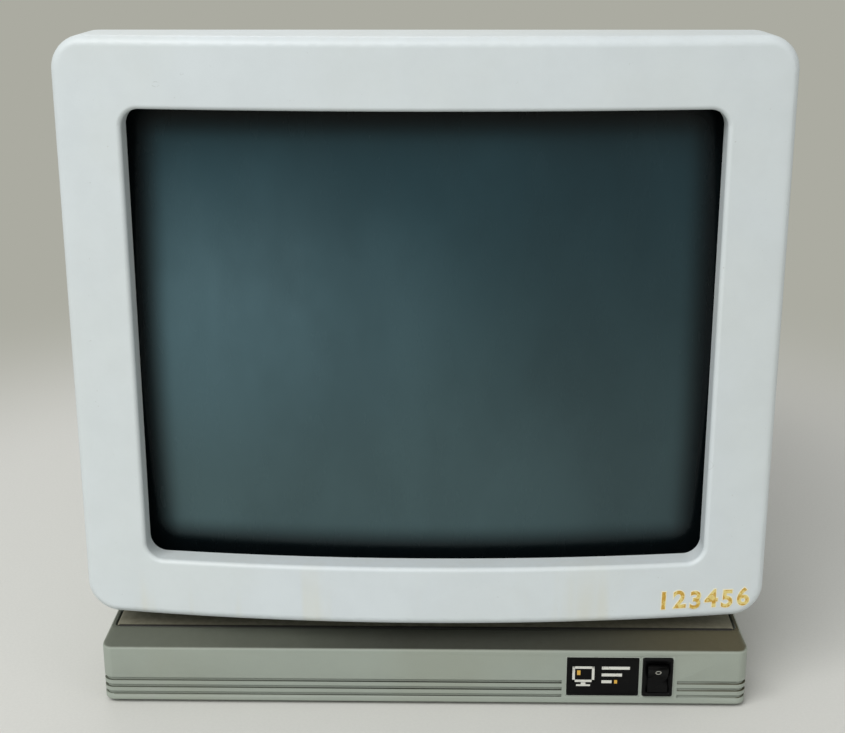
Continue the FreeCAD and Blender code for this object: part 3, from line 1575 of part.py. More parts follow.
def picture_tube():
    centre = ("0", "glass_front_y + face_curve", "screen_z")
    shapes = []
    for name, inset in (("outer", "0"), ("inner", "panel_glass")):
        body = doc.addObject("PartDesign::Body", name + "_panel")
        section = sketch(body, name + "_panel_outline", "XZ", "panel_back_y")
        size = ("panel_width - 2 * " + inset, "panel_height - 2 * " + inset)
        centred(section, "0", "screen_z", *size, "panel_corner - " + inset)
        pad(body, section, "panel_back_y - bezel_front")
        ball = doc.addObject("Part::Sphere", name + "_face_ball")
        tie(ball, "Radius", "face_curve - " + inset)
        put(ball, centre)
        shapes.append(shared(name + "_panel_shape", body, ball))
    keep("tube_face", take("tube_face", *shapes))

    shapes = []
    for name, inset in (("outer", "0"), ("inner", "funnel_wall")):
        sections = []
        stations = (
            ("panel_back_y", "panel_width", "panel_height", "panel_corner"),
            ("cone_y", "cone_width", "cone_height", "cone_height * 0.3"),
            ("throat_y", "throat_width", "throat_height", "throat_height * 0.42"),
            ("neck_y", "2 * neck_radius", "2 * neck_radius", "neck_radius * 0.98"),
        )
        for index, (y, width, height, corner) in enumerate(stations):
            section = free_sketch("%s_funnel_section_%d" % (name, index), "XZ", y)
            size = ("%s - 2 * %s" % (width, inset), "%s - 2 * %s" % (height, inset))
            centred(section, "0", "screen_z", *size, "%s - %s" % (corner, inset))
            sections.append(section)
        shapes.append(solid_loft(name + "_funnel", sections))
    keep("tube_funnel", take("tube_funnel", *shapes))
    funnel_solid = shapes[0]

    axis_at = ("0", "neck_y", "screen_z")
    glass = rod("neck_outside", "Y", axis_at, "neck_radius", "neck_end_y - neck_y")
    space = rod("neck_inside", "Y", axis_at, "neck_radius - neck_wall", "neck_end_y - neck_y - neck_wall")
    stem = rod("tube_base", "Y", ("0", "neck_end_y", "screen_z"), "tube_base_radius", "tube_base_length")
    keep("tube_neck", join("tube_neck", [take("neck_glass", glass, space), stem]))
    gun = []
    end = "neck_end_y - neck_wall"
    # Each stage: place from the back end, radius and length in steps.
    stages = ((2, 1.5, 2), (5.5, 2.25, 3.5), (6.5, 1.25, 1), (11.5, 2.4, 5))
    for index, (back, radius, length) in enumerate(stages):
        at = ("0", "%s - %g * gun_step" % (end, back), "screen_z")
        gun.append(rod("gun_stage_%d" % index, "Y", at, "%g * gun_step" % radius, "%g * gun_step" % length))
    keep("electron_gun", join("electron_gun", gun))

    band = new_body("rim_band")
    strip = sketch(band, "band_outline", "XZ", "panel_back_y - 1")
    grow = "2 * (band_gap + band_thickness)"
    corner = "panel_corner + band_gap"
    size = ("panel_width + " + grow, "panel_height + " + grow)
    centred(strip, "0", "screen_z", *size, corner + " + band_thickness")
    pad(band, strip, "panel_back_y - 1 - ear_plate_y")
    ears = sketch(band, "ear_plates", "XZ", "ear_plate_y + ear_plate")
    out_x = "(ear_x + ear_reach)"
    out_z = "(ear_z + ear_reach)"
    in_x = "(panel_width / 2 - panel_corner)"
    in_z = "(panel_height / 2 - panel_corner / 2)"
    for a, b in ENDS:
        corners = [(out_x, out_z), (in_x, out_z), (in_x, in_z), (out_x, in_z)]
        outline(ears, [("%d * %s" % (a, x), "screen_z + %d * %s" % (b, z)) for x, z in corners])
    pad(band, ears, "ear_plate")
    tube = sketch(band, "band_bore", "XZ", "panel_back_y - 1")
    centred(tube, "0", "screen_z", "panel_width + 2 * band_gap", "panel_height + 2 * band_gap", corner)
    pocket(band, tube, "band_depth + 2 * ear_plate", reverse=True)
    holes = sketch(band, "ear_screw_holes", "XZ", "ear_plate_y")
    for x, z in tube_screw_places():
        circle(holes, x, z, "tube_screw_radius + screw_fit")
    pocket(band, holes, "ear_plate")
    screws = []
    for index, (x, z) in enumerate(tube_screw_places()):
        at = (x, "ear_plate_y + ear_plate", z)
        length = "ear_plate + tube_screw_bite - screw_end"
        screws.append(screw("tube_screw_%d" % index, "Y", at, -1, "tube_screw", length))
    group("tube_screws", screws)

    slope = "atan((cone_height - throat_height) / 2 / (throat_y - cone_y))"
    share = "(cap_y - cone_y) / (throat_y - cone_y)"
    rise = "cone_height / 2 + (throat_height - cone_height) / 2 * " + share
    stages = []
    for name, radius, low, high in (
        ("skirt", "cap_radius", "-cap_sink", "cap_height"),
        ("stem", "cap_stem_radius", "0", "cap_height + cap_stem"),
    ):
        stage = doc.addObject("Part::Cylinder", "cap_" + name)
        tie(stage, "Radius", radius)
        tie(stage, "Height", "%s - (%s)" % (high, low))
        reach = "(cap_seat + %s)" % low
        y = "cap_y + %s * sin(%s)" % (reach, slope)
        at = ("0", y, "screen_z + %s + %s * cos(%s)" % (rise, reach, slope))
        stage.Placement = FreeCAD.Placement(Vector(), Rotation(Vector(1, 0, 0), -value(slope)))
        tie(stage, "Placement.Rotation.Angle", slope)
        stages.append(put(stage, at))
    keep("anode_cap", take("anode_cap", join("cap_stages", stages), funnel_solid))


def deflection_yoke():
    bore = "neck_radius + yoke_bore_gap"
    end = "yoke_front_y + yoke_length"
    body = new_body("deflection_yoke")
    profile = sketch(body, "yoke_profile", "XY", "screen_z")
    outline(
        profile,
        [
            (bore, "yoke_front_y"),
            ("yoke_front_radius", "yoke_front_y"),
            ("yoke_front_radius", "yoke_front_y + yoke_length * 0.3"),
            ("yoke_back_radius", "yoke_front_y + yoke_length * 0.75"),
            ("yoke_back_radius", end),
            (bore, end),
        ],
    )
    spin(body, profile)
    body = new_body("yoke_windings")
    ring = sketch(body, "winding_profile", "XY", "screen_z")
    outer = "yoke_front_radius - winding_width / 2"
    inner = outer + " - winding_width"
    front = "yoke_front_y - winding_width"
    bevel = "winding_width / 4"
    outline(
        ring,
        [
            (inner, "yoke_front_y"),
            (inner, "%s + %s" % (front, bevel)),
            ("%s + %s" % (inner, bevel), front),
            ("%s - %s" % (outer, bevel), front),
            (outer, "%s + %s" % (front, bevel)),
            (outer, "yoke_front_y"),
        ],
    )
    spin(body, ring)
    body = new_body("yoke_clamp")
    collar = sketch(body, "clamp_profile", "XY", "screen_z")
    rear = end + " + clamp_length"
    outline(collar, [(bore, end), ("clamp_radius", end), ("clamp_radius", rear), (bore, rear)])
    spin(body, collar)
    lug = sketch(body, "clamp_lug", "XZ", rear)
    low = "screen_z + clamp_radius - screw_end"
    plain(lug, "-clamp_lug_width / 2", "clamp_lug_width / 2", low, "screen_z + clamp_radius + clamp_lug")
    pad(body, lug, "clamp_length")


def neck_board():
    size = "neck_board_size"
    at = ("-%s / 2" % size, "neck_board_y", "screen_z - %s / 2" % size)
    keep("neck_board", block("neck_board", at, (size, "board_thickness", size)))
    at = ("0", "neck_end_y + tube_base_length", "screen_z")
    keep("tube_socket", rod("tube_socket", "Y", at, "socket_radius", "socket_length"))


# Video board, with what stands on it


def video_board():
    edges = ("-video_half", "video_half", "video_front", "video_back")
    body = board_sheet("video_board", *edges, "video_z")
    holes = sketch(body, "video_board_holes", "XY", "video_top")
    for x, y in video_posts():
        circle(holes, x, y, "board_screw_radius + screw_fit")
    pocket(body, holes, "board_thickness")
    screws = []
    for index, (x, y) in enumerate(video_posts()):
        at = (x, y, "video_top")
        length = "board_thickness + post_hole_depth - screw_end"
        screws.append(screw("video_screw_%d" % index, "Z", at, -1, "board_screw", length))
    group("video_screws", screws)
    flyback()
    video_parts()


def flyback():
    middle = ("flyback_x", "flyback_y")
    coil = rod("flyback_coil", "Z", (*middle, "video_top"), "flyback_radius", "flyback_height")
    top = "video_top + flyback_height"
    radii = ("flyback_radius", "flyback_radius * 0.5")
    dome = cone("flyback_dome", "Z", (*middle, top), *radii, "flyback_dome")
    side = "flyback_y - flyback_core / 2"
    leg_height = "flyback_height * 0.8"
    at = ("flyback_x + flyback_radius + flyback_core_gap", side, "video_top")
    leg = block("flyback_leg", at, ("flyback_core", "flyback_core", leg_height))
    at = ("flyback_x", side, "video_top + %s - flyback_core" % leg_height)
    reach = "flyback_radius + flyback_core_gap + flyback_core"
    bridge = block("flyback_bridge", at, (reach, "flyback_core", "flyback_core"))
    keep("flyback_transformer", join("flyback_transformer", [coil, dome, leg, bridge]))


def video_parts():
    sink_x = "-video_half + " + grid(5.5)
    sink_y = "video_front + " + grid(8.5)
    size = ("fin_thickness * 1.4", "sink_length", "sink_height")
    fins = [block("sink_plate", (sink_x, sink_y, "video_top"), size)]
    for index in range(5):
        y = sink_y + " + %d * (sink_length - fin_thickness) / 4" % index
        at = (sink_x + " + fin_thickness", y, "video_top")
        fins.append(block("sink_fin_%d" % index, at, ("fin_length", "fin_thickness", "sink_height")))
    keep("video_heat_sink", join("video_heat_sink", fins))
    at = (sink_x + " - " + grid(2), "video_front + " + grid(16), "video_top + " + grid(3))
    keep("output_transistor", block("output_transistor", at, (grid(2), grid(6), grid(8))))
    cans = []
    # Each can: place across, place from the front, radius and height in grid steps.
    sizes = (
        (-12, 12, 3.5, 12.5),
        (-2.5, 12, 2.4, 8.5),
        (5.5, 8.5, 2, 6.3),
        (-13.5, 24, 2.4, 8.5),
        (8, 30, 2, 5.5),
    )
    for index, (x, y, radius, height) in enumerate(sizes):
        at = (grid(x), "video_front + " + grid(y), "video_top")
        cans.append(rod("video_can_%d" % index, "Z", at, grid(radius), grid(height)))
    group("video_capacitors", cans)


# Brightness control


def brightness():
    body = new_body("brightness_wheel")
    rim = sketch(body, "wheel_outline", "XY", "wheel_z - wheel_thickness / 2")
    circle(rim, "wheel_x", "wheel_y", "wheel_radius")
    pad(body, rim, "wheel_thickness")
    notches = sketch(body, "wheel_notch_outline", "XY", "wheel_z + wheel_thickness / 2")
    for index in range(SIZES["wheel_notches"]):
        turn = "%d * 360 / wheel_notches" % index
        x = "wheel_x + wheel_radius * cos(%s)" % turn
        y = "wheel_y + wheel_radius * sin(%s)" % turn
        circle(notches, x, y, "notch_radius")
    pocket(body, notches, "wheel_thickness")
    shaft = sketch(body, "wheel_shaft", "XY", "control_low + 2 * control_floor")
    circle(shaft, "wheel_x", "wheel_y", "shaft_radius")
    pad(body, shaft, "wheel_z - control_low - 2 * control_floor")
    control = new_body("brightness_control")
    case = sketch(control, "control_outline", "XY", "control_low")
    centred(case, "wheel_x", "wheel_y", "control_width", "control_width", "control_corner")
    pad(control, case, "control_height")
    bore = sketch(control, "control_bore", "XY", "control_low + control_height")
    circle(bore, "wheel_x", "wheel_y", "shaft_radius + shaft_play")
    pocket(control, bore, "control_height - control_floor")


# The whole object

base_case()
base_cover()
base_small_parts()
badge()
power_switch()
rear_panel()
group("inlet_screws", mains_inlet())
serial_port("host_port", "port_x")
serial_port("printer_port", "port_x - port_pitch")
keyboard_jack()
base_boards()
power_parts()
swivel()
tilt_parts()
front_bezel()
rear_housing()
picture_tube()
deflection_yoke()
neck_board()
video_board()
brightness()
doc.recompute()

for item in doc.Objects:
    if "Invalid" in item.State or "Error" in item.State:
        raise RuntimeError("%s failed: %s" % (item.Name, item.getStatusString()))
for name, piece in pieces.items():
    if piece.Shape.isNull() or not piece.Shape.isValid():
        raise RuntimeError("%s has no valid shape" % name)
os.makedirs("parts", exist_ok=True)
for name, piece in pieces.items():
    piece.Shape.exportStep("parts/%s.step" % name)
print("%d pieces written" % len(pieces))
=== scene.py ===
import json
import math

import bmesh
import bpy
from mathutils import Matrix, Vector
from mathutils.bvhtree import BVHTree


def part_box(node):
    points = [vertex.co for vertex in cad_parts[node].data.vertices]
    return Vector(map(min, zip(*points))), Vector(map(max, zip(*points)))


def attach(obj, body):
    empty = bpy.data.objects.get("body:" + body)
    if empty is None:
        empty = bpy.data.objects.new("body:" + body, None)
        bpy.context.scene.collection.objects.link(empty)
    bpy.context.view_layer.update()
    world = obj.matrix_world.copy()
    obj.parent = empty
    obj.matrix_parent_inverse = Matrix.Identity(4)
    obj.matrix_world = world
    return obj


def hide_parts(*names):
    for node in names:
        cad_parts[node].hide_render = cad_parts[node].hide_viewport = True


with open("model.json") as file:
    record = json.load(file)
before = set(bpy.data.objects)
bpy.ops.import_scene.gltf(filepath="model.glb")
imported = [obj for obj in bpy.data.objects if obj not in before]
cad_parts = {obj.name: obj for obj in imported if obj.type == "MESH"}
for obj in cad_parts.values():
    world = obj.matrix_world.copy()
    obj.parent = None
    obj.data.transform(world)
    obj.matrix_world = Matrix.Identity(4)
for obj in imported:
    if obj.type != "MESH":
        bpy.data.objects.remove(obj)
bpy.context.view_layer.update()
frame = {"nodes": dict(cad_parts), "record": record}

cadNodes = frame["nodes"]
record = frame["record"]
bodyOf = {node: body for body, members in record["behaviour"]["bodies"].items() for node in members}
slotOf = {row["node"]: row["material_slot"] for row in record["subparts"]}
scene = bpy.context.scene
scene.view_settings.view_transform = "Standard"
print("frame loaded:", len(cadNodes), "nodes")


# ---- small helpers for meshes

def colour(red, green, blue):
    # screen values 0-255 to the linear colour that the shaders take
    parts = []
    for part in (red / 255, green / 255, blue / 255):
        parts.append(part / 12.92 if part <= 0.04045 else ((part + 0.055) / 1.055) ** 2.4)
    return (*parts, 1.0)


def makePiece(name, mesh, material, body):
    piece = bpy.data.objects.new(name, mesh)
    scene.collection.objects.link(piece)
    piece.data.materials.clear()
    piece.data.materials.append(material)
    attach(piece, body)
    return piece


def finishMesh(name, bm, smoothAngle=35):
    mesh = bpy.data.meshes.new(name)
    for face in bm.faces:
        face.smooth = True
    bm.to_mesh(mesh)
    bm.free()
    mesh.set_sharp_from_angle(angle=math.radians(smoothAngle))
    return mesh


def smoothTwin(node, material, smoothAngle=35, reshape=None):
    # a merged, smooth-shaded copy of a CAD node that stands for it
    bm = bmesh.new()
    bm.from_mesh(cadNodes[node].data)
    bmesh.ops.remove_doubles(bm, verts=bm.verts, dist=2e-6)
    if reshape:
        reshape(bm)
    mesh = finishMesh(node + "_skin", bm, smoothAngle)
    if "custom_normal" in mesh.attributes:
        mesh.attributes.remove(mesh.attributes["custom_normal"])
    piece = makePiece(node + "_skin", mesh, material, bodyOf[node])
    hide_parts(node)
    weighted = piece.modifiers.new("WeightedNormal", "WEIGHTED_NORMAL")
    weighted.keep_sharp = True
    return piece


# ---- small helpers for shaders

def addNode(tree, kind, inputs=None, **settings):
    node = tree.nodes.new("ShaderNode" + kind)
    for setting, given in settings.items():
        setattr(node, setting, given)
    for socket, given in (inputs or {}).items():
        if isinstance(given, bpy.types.NodeSocket):
            tree.links.new(given, node.inputs[socket])
        else:
            node.inputs[socket].default_value = given
    return node


def noiseAt(tree, place, scale, detail=3.0, rough=0.55):
    inputs = {"Vector": place, "Scale": scale, "Detail": detail, "Roughness": rough}
    return addNode(tree, "TexNoise", inputs).outputs["Fac"]


def remap(tree, given, low, high, toLow=0.0, toHigh=1.0, smooth=True):
    kind = "SMOOTHSTEP" if smooth else "LINEAR"
    inputs = {"Value": given, "From Min": low, "From Max": high, "To Min": toLow, "To Max": toHigh}
    return addNode(tree, "MapRange", inputs, interpolation_type=kind).outputs["Result"]


def calc(tree, operation, first, second=0.0, third=None):
    node = addNode(tree, "Math", {0: first, 1: second}, operation=operation)
    if third is not None:
        node.inputs[2].default_value = third
    return node.outputs[0]


def mixColours(tree, amount, first, second, blend="MIX"):
    node = addNode(tree, "Mix", {0: amount, 6: first, 7: second}, data_type="RGBA", blend_type=blend)
    return node.outputs[2]


def objectPlace(tree, stretch=(1, 1, 1), turn=(0, 0, 0)):
    place = addNode(tree, "TexCoord").outputs["Object"]
    if stretch == (1, 1, 1) and turn == (0, 0, 0):
        return place
    return addNode(tree, "Mapping", {"Vector": place, "Scale": stretch, "Rotation": turn}).outputs["Vector"]


def newGroup(name, inputs, outputs):
    group = bpy.data.node_groups.new(name, "ShaderNodeTree")
    for label, given in inputs.items():
        kind = "NodeSocketColor" if isinstance(given, tuple) else "NodeSocketFloat"
        socket = group.interface.new_socket(name=label, in_out="INPUT", socket_type=kind)
        socket.default_value = given
    for label in outputs:
        kind = "NodeSocketColor" if label == "Color" else "NodeSocketFloat"
        group.interface.new_socket(name=label, in_out="OUTPUT", socket_type=kind)
    start = group.nodes.new("NodeGroupInput")
    end = group.nodes.new("NodeGroupOutput")
    return group, start.outputs, end


def useGroup(tree, group, **values):
    node = tree.nodes.new("ShaderNodeGroup")
    node.node_tree = group
    for label, given in values.items():
        socket = node.inputs[label.replace("_", " ")]
        if isinstance(given, bpy.types.NodeSocket):
            tree.links.new(given, socket)
        else:
            socket.default_value = given
    return node.outputs


# ---- effects that several finishes share

def buildMouldedSkin():
    # moulded plastic: fine grain, cloudy tone, yellowing in patches and dust on what faces up
    inputs = {"Clean": (0.5, 0.5, 0.5, 1), "Aged": (0.5, 0.5, 0.4, 1), "Dust": (0.5, 0.5, 0.45, 1)}
    inputs.update({"Age": 0.2, "Dustiness": 0.1, "Dust Evenness": 0.0, "Grain Scale": 1500.0})
    inputs.update({"Gloss Base": 0.45, "Gloss Spread": 0.1})
    group, given, end = newGroup("mouldedSkin", inputs, ("Color", "Roughness", "Height"))
    place = objectPlace(group)
    cloud = remap(group, noiseAt(group, place, 11.0, 4.0), 0.38, 0.68)
    aged = mixColours(group, calc(group, "MULTIPLY", cloud, given["Age"]), given["Clean"], given["Aged"])
    tone = remap(group, noiseAt(group, place, 55.0, 5.0, 0.65), 0.3, 0.7, 0.98, 1.015)
    toned = mixColours(group, 1.0, aged, addNode(group, "CombineColor", {0: tone, 1: tone, 2: tone}).outputs[0], "MULTIPLY")
    facing = addNode(group, "SeparateXYZ", {0: addNode(group, "TexCoord").outputs["Normal"]}).outputs[2]
    settled = remap(group, facing, 0.3, 0.85)
    speck = remap(group, noiseAt(group, place, 240.0, 6.0, 0.7), 0.35, 0.66, given["Dust Evenness"], 1.0)
    film = calc(group, "MULTIPLY", settled, calc(group, "MULTIPLY", speck, given["Dustiness"]))
    group.links.new(mixColours(group, film, toned, given["Dust"]), end.inputs["Color"])
    spread = calc(group, "MULTIPLY", calc(group, "SUBTRACT", noiseAt(group, place, 30.0, 4.0), 0.5), given["Gloss Spread"])
    rough = calc(group, "ADD", calc(group, "ADD", given["Gloss Base"], spread), calc(group, "MULTIPLY", film, 0.4))
    group.links.new(rough, end.inputs["Roughness"])
    fine = addNode(group, "TexNoise", {"Vector": place, "Scale": given["Grain Scale"], "Detail": 2.0}).outputs["Fac"]
    group.links.new(fine, end.inputs["Height"])
    return group


def buildHairMarks():
    # a few thin curved scratches: narrow bands of a slow noise, broken up by a second one
    group, given, end = newGroup("hairMarks", {"Scale": 30.0, "Width": 0.004, "Amount": 0.5}, ("Mask",))
    place = objectPlace(group, (1, 1, 0.35), (0.3, 0.5, 0.8))
    slow = addNode(group, "TexNoise", {"Vector": place, "Scale": given["Scale"], "Detail": 1.0}).outputs["Fac"]
    near = calc(group, "ABSOLUTE", calc(group, "SUBTRACT", slow, 0.5))
    line = calc(group, "LESS_THAN", near, given["Width"])
    parts = remap(group, noiseAt(group, place, 17.0, 2.0), 0.6, 0.68)
    mask = calc(group, "MULTIPLY", calc(group, "MULTIPLY", line, parts), given["Amount"])
    group.links.new(mask, end.inputs["Mask"])
    return group


def buildEdgeRub():
    # handling wear near raised edges: the rounded normal differs from the flat one there
    group, given, end = newGroup("edgeRub", {"Reach": 0.001, "Amount": 0.5, "Break Up": 90.0}, ("Mask",))
    rounded = addNode(group, "Bevel", {"Radius": given["Reach"]}, samples=4).outputs["Normal"]
    straight = addNode(group, "NewGeometry").outputs["Normal"]
    turned = addNode(group, "VectorMath", {0: rounded, 1: straight}, operation="DOT_PRODUCT").outputs["Value"]
    edge = remap(group, turned, 0.97, 0.8)
    place = objectPlace(group)
    patch = addNode(group, "TexNoise", {"Vector": place, "Scale": given["Break Up"], "Detail": 5.0}).outputs["Fac"]
    mask = calc(group, "MULTIPLY", calc(group, "MULTIPLY", edge, remap(group, patch, 0.35, 0.65)), given["Amount"])
    group.links.new(mask, end.inputs["Mask"])
    return group


def buildMetalGrain():
    # drawn or rolled metal: streaks along one direction, stains and small pits
    inputs = {"Clean": (0.6, 0.6, 0.6, 1), "Stain": (0.3, 0.3, 0.28, 1), "Streak Scale": 400.0, "Gloss Base": 0.35}
    group, given, end = newGroup("metalGrain", inputs, ("Color", "Roughness", "Height"))
    place = objectPlace(group, (1, 0.06, 1))
    streak = addNode(group, "TexNoise", {"Vector": place, "Scale": given["Streak Scale"], "Detail": 4.0}).outputs["Fac"]
    blot = remap(group, noiseAt(group, objectPlace(group), 70.0, 5.0, 0.7), 0.5, 0.75)
    tone = remap(group, streak, 0.3, 0.7, 0.88, 1.05)
    clean = mixColours(group, 1.0, given["Clean"], addNode(group, "CombineColor", {0: tone, 1: tone, 2: tone}).outputs[0], "MULTIPLY")
    group.links.new(mixColours(group, calc(group, "MULTIPLY", blot, 0.5), clean, given["Stain"]), end.inputs["Color"])
    rough = calc(group, "ADD", given["Gloss Base"], calc(group, "MULTIPLY", blot, 0.2))
    group.links.new(calc(group, "ADD", rough, calc(group, "MULTIPLY", streak, 0.12)), end.inputs["Roughness"])
    group.links.new(streak, end.inputs["Height"])
    return group


def buildRoundedWindow():
    # distance outside a rounded rectangle that stands in the X-Z plane, negative inside
    inputs = {"Middle X": 0.0, "Middle Z": 0.0, "Half Width": 0.1, "Half Height": 0.1, "Corner": 0.01}
    group, given, end = newGroup("roundedWindow", inputs, ("Distance",))
    split = addNode(group, "SeparateXYZ", {0: objectPlace(group)}).outputs
    outside = []
    for place, middle, half in ((split[0], "Middle X", "Half Width"), (split[2], "Middle Z", "Half Height")):
        away = calc(group, "ABSOLUTE", calc(group, "SUBTRACT", place, given[middle]))
        outside.append(calc(group, "ADD", calc(group, "SUBTRACT", away, given[half]), given["Corner"]))
    clipped = [calc(group, "MAXIMUM", side, 0.0) for side in outside]
    squares = [calc(group, "MULTIPLY", side, side) for side in clipped]
    corner = calc(group, "SQRT", calc(group, "ADD", squares[0], squares[1]))
    inner = calc(group, "MINIMUM", calc(group, "MAXIMUM", outside[0], outside[1]), 0.0)
    distance = calc(group, "SUBTRACT", calc(group, "ADD", corner, inner), given["Corner"])
    group.links.new(distance, end.inputs["Distance"])
    return group


mouldedSkin = buildMouldedSkin()
hairMarks = buildHairMarks()
edgeRub = buildEdgeRub()
metalGrain = buildMetalGrain()
roundedWindow = buildRoundedWindow()
print("shared effects built")


# ---- finishes

def newMaterial(name, **fixed):
    # a material with its Principled shader; fixed values go straight on the shader's sockets
    material = bpy.data.materials.new(name)
    material.use_nodes = True
    shader = material.node_tree.nodes["Principled BSDF"]
    for label, given in fixed.items():
        shader.inputs[label.replace("_", " ")].default_value = given
    return material, material.node_tree, shader


def linkBump(tree, shader, height, strength, depth):
    bump = addNode(tree, "Bump", {"Height": height, "Strength": strength, "Distance": depth})
    tree.links.new(bump.outputs["Normal"], shader.inputs["Normal"])


def mouldedFinish(name, look, **fixed):
    material, tree, shader = newMaterial(name, **fixed)
    skin = useGroup(
        tree, mouldedSkin, Clean=look["clean"], Aged=look["aged"], Dust=look["dust"], Age=look["age"],
        Dustiness=look["dustiness"], Dust_Evenness=look["dustEven"], Grain_Scale=look["grainScale"],
        Gloss_Base=look["gloss"],
        Gloss_Spread=look["glossSpread"],
    )
    base = skin["Color"]
    if look["rub"] > 0:
        rub = useGroup(tree, edgeRub, Reach=look["rubReach"], Amount=look["rub"], Break_Up=120.0)["Mask"]
        base = mixColours(tree, rub, base, look["rubColour"])
    if look["marks"] > 0:
        marks = useGroup(tree, hairMarks, Scale=look["markScale"], Width=0.0035, Amount=look["marks"])["Mask"]
        base = mixColours(tree, marks, base, look["markColour"])
    tree.links.new(base, shader.inputs["Base Color"])
    tree.links.new(skin["Roughness"], shader.inputs["Roughness"])
    linkBump(tree, shader, skin["Height"], look["grain"], 0.0002)
    return material, tree, shader, base


plainLook = {
    "clean": colour(200, 206, 206), "aged": colour(200, 202, 190), "dust": colour(190, 188, 176),
    "age": 0.2, "dustiness": 0.25, "dustEven": 0.1, "grainScale": 1500.0, "grain": 0.12, "gloss": 0.42, "glossSpread": 0.12,
    "rub": 0.0, "rubReach": 0.001, "rubColour": colour(220, 224, 222),
    "marks": 0.0, "markScale": 26.0, "markColour": colour(150, 152, 148),
}


def lookOf(**changes):
    return {**plainLook, **changes}


bezelLook = lookOf(
    clean=colour(207, 215, 218), aged=colour(206, 212, 208), age=0.3, dustiness=0.12, grain=0.1,
    gloss=0.44,
)
# its dust on what faces up is darker than the plastic: partly dust, partly painted shade for the slope under the bezel
caseLook = lookOf(
    clean=colour(150, 158, 148), aged=colour(146, 150, 134), dust=colour(96, 98, 84), age=0.35,
    dustiness=0.6, dustEven=0.8, grain=0.2, marks=0.2, gloss=0.46,
)
coverLook = lookOf(
    clean=colour(142, 140, 124), aged=colour(136, 130, 108), dust=colour(112, 108, 90), age=0.5,
    dustiness=0.8, dustEven=0.5, grain=0.2, gloss=0.5,
)
blackLook = lookOf(
    clean=colour(5, 5, 6), aged=colour(9, 9, 8), dust=colour(36, 34, 30), age=0.3, dustiness=0.12,
    grain=0.12, grainScale=2200.0, gloss=0.46, rub=0.25, rubReach=0.0005, rubColour=colour(60, 62, 62),
)
darkLook = lookOf(
    clean=colour(38, 38, 38), aged=colour(44, 42, 38), dust=colour(104, 100, 90), age=0.4, dustiness=0.4,
    grain=0.15, gloss=0.5,
)
greyLook = lookOf(clean=colour(120, 120, 116), aged=colour(126, 122, 106), age=0.4, gloss=0.5)
glideLook = lookOf(clean=colour(222, 220, 210), aged=colour(206, 196, 168), age=0.5, gloss=0.36, grain=0.05)
chipLook = lookOf(
    clean=colour(30, 30, 31), aged=colour(38, 38, 37), dust=colour(90, 88, 80), gloss=0.55, grain=0.2,
    grainScale=3500.0, dustiness=0.5,
)
rubberLook = lookOf(
    clean=colour(34, 33, 32), aged=colour(48, 46, 42), dust=colour(110, 106, 96), age=0.6, gloss=0.75,
    glossSpread=0.15, grain=0.3, dustiness=0.4,
)
capLook = lookOf(
    clean=colour(92, 34, 26), aged=colour(70, 30, 24), dust=colour(120, 104, 92), age=0.5, gloss=0.5, grain=0.15,
)
washerLook = lookOf(clean=colour(120, 84, 54), aged=colour(92, 66, 44), age=0.6, gloss=0.7, grain=0.4)
canLook = lookOf(clean=colour(28, 44, 84), aged=colour(24, 34, 62), age=0.4, gloss=0.32, grain=0.03)

finishes = {}
for slot, look in (
    ("black_plastic", blackLook),
    ("dark_plastic", darkLook), ("grey_plastic", greyLook), ("glide_plastic", glideLook),
    ("chip_black", chipLook), ("foot_rubber", rubberLook), ("cap_rubber", capLook),
    ("washer_fibre", washerLook), ("can_sleeve", canLook),
):
    finishes[slot] = mouldedFinish(slot, look)[0]
finishes["black_plastic"].node_tree.nodes["Principled BSDF"].inputs["Specular IOR Level"].default_value = 0.14


# each scuff: place across and up, radius of its arc, half width of its line and strength
scuffs = ((-0.1135, 0.2925, 0.0016, 0.0004, 0.5), (-0.102, 0.297, 0.0006, 0.0004, 0.35), (0.128, 0.12, 0.004, 0.0003, 0.3))


def bezelFinish():
    # the bezel's skin with faint yellow runs and scuffs low on the front and one scuff at its top left
    material, tree, shader, base = mouldedFinish("bezel_plastic", bezelLook)
    place = objectPlace(tree, (1, 1, 0.12))
    runs = remap(tree, noiseAt(tree, place, 42.0, 3.0), 0.56, 0.72)
    split = addNode(tree, "SeparateXYZ", {0: objectPlace(tree)}).outputs
    low = remap(tree, split[2], 0.085, 0.045)
    stained = mixColours(tree, calc(tree, "MULTIPLY", calc(tree, "MULTIPLY", runs, low), 0.28), base, colour(206, 200, 170))
    speckPlace = noiseAt(tree, objectPlace(tree), 420.0, 4.0, 0.7)
    specks = calc(tree, "MULTIPLY", remap(tree, speckPlace, 0.69, 0.73), 0.35)
    dotted = mixColours(tree, specks, stained, colour(150, 150, 142))
    for x, z, radius, line, strength in scuffs:
        across = calc(tree, "SUBTRACT", split[0], x)
        up = calc(tree, "MULTIPLY", calc(tree, "SUBTRACT", split[2], z), 1.5)
        reach = calc(tree, "SQRT", calc(tree, "ADD", calc(tree, "MULTIPLY", across, across), calc(tree, "MULTIPLY", up, up)))
        away = calc(tree, "ABSOLUTE", calc(tree, "SUBTRACT", reach, radius))
        mask = calc(tree, "MULTIPLY", remap(tree, away, line, line * 0.3), remap(tree, speckPlace, 0.4, 0.55, 0.0, strength))
        dotted = mixColours(tree, mask, dotted, colour(160, 166, 164))
    tree.links.new(dotted, shader.inputs["Base Color"])
    return material


finishes["bezel_plastic"] = bezelFinish()

# shade and grime on the base: middle, reach and dark paint the bezel's shade on the slope, brown and green are grime,
# seam paints the shade in the cover's seam
shadeAndGrime = {
    "middle": 0.02, "reach": 0.15, "dark": colour(31, 32, 22), "brown": colour(66, 59, 34), "green": colour(82, 86, 75),
    "strength": 0.92, "seam": colour(24, 22, 18),
}


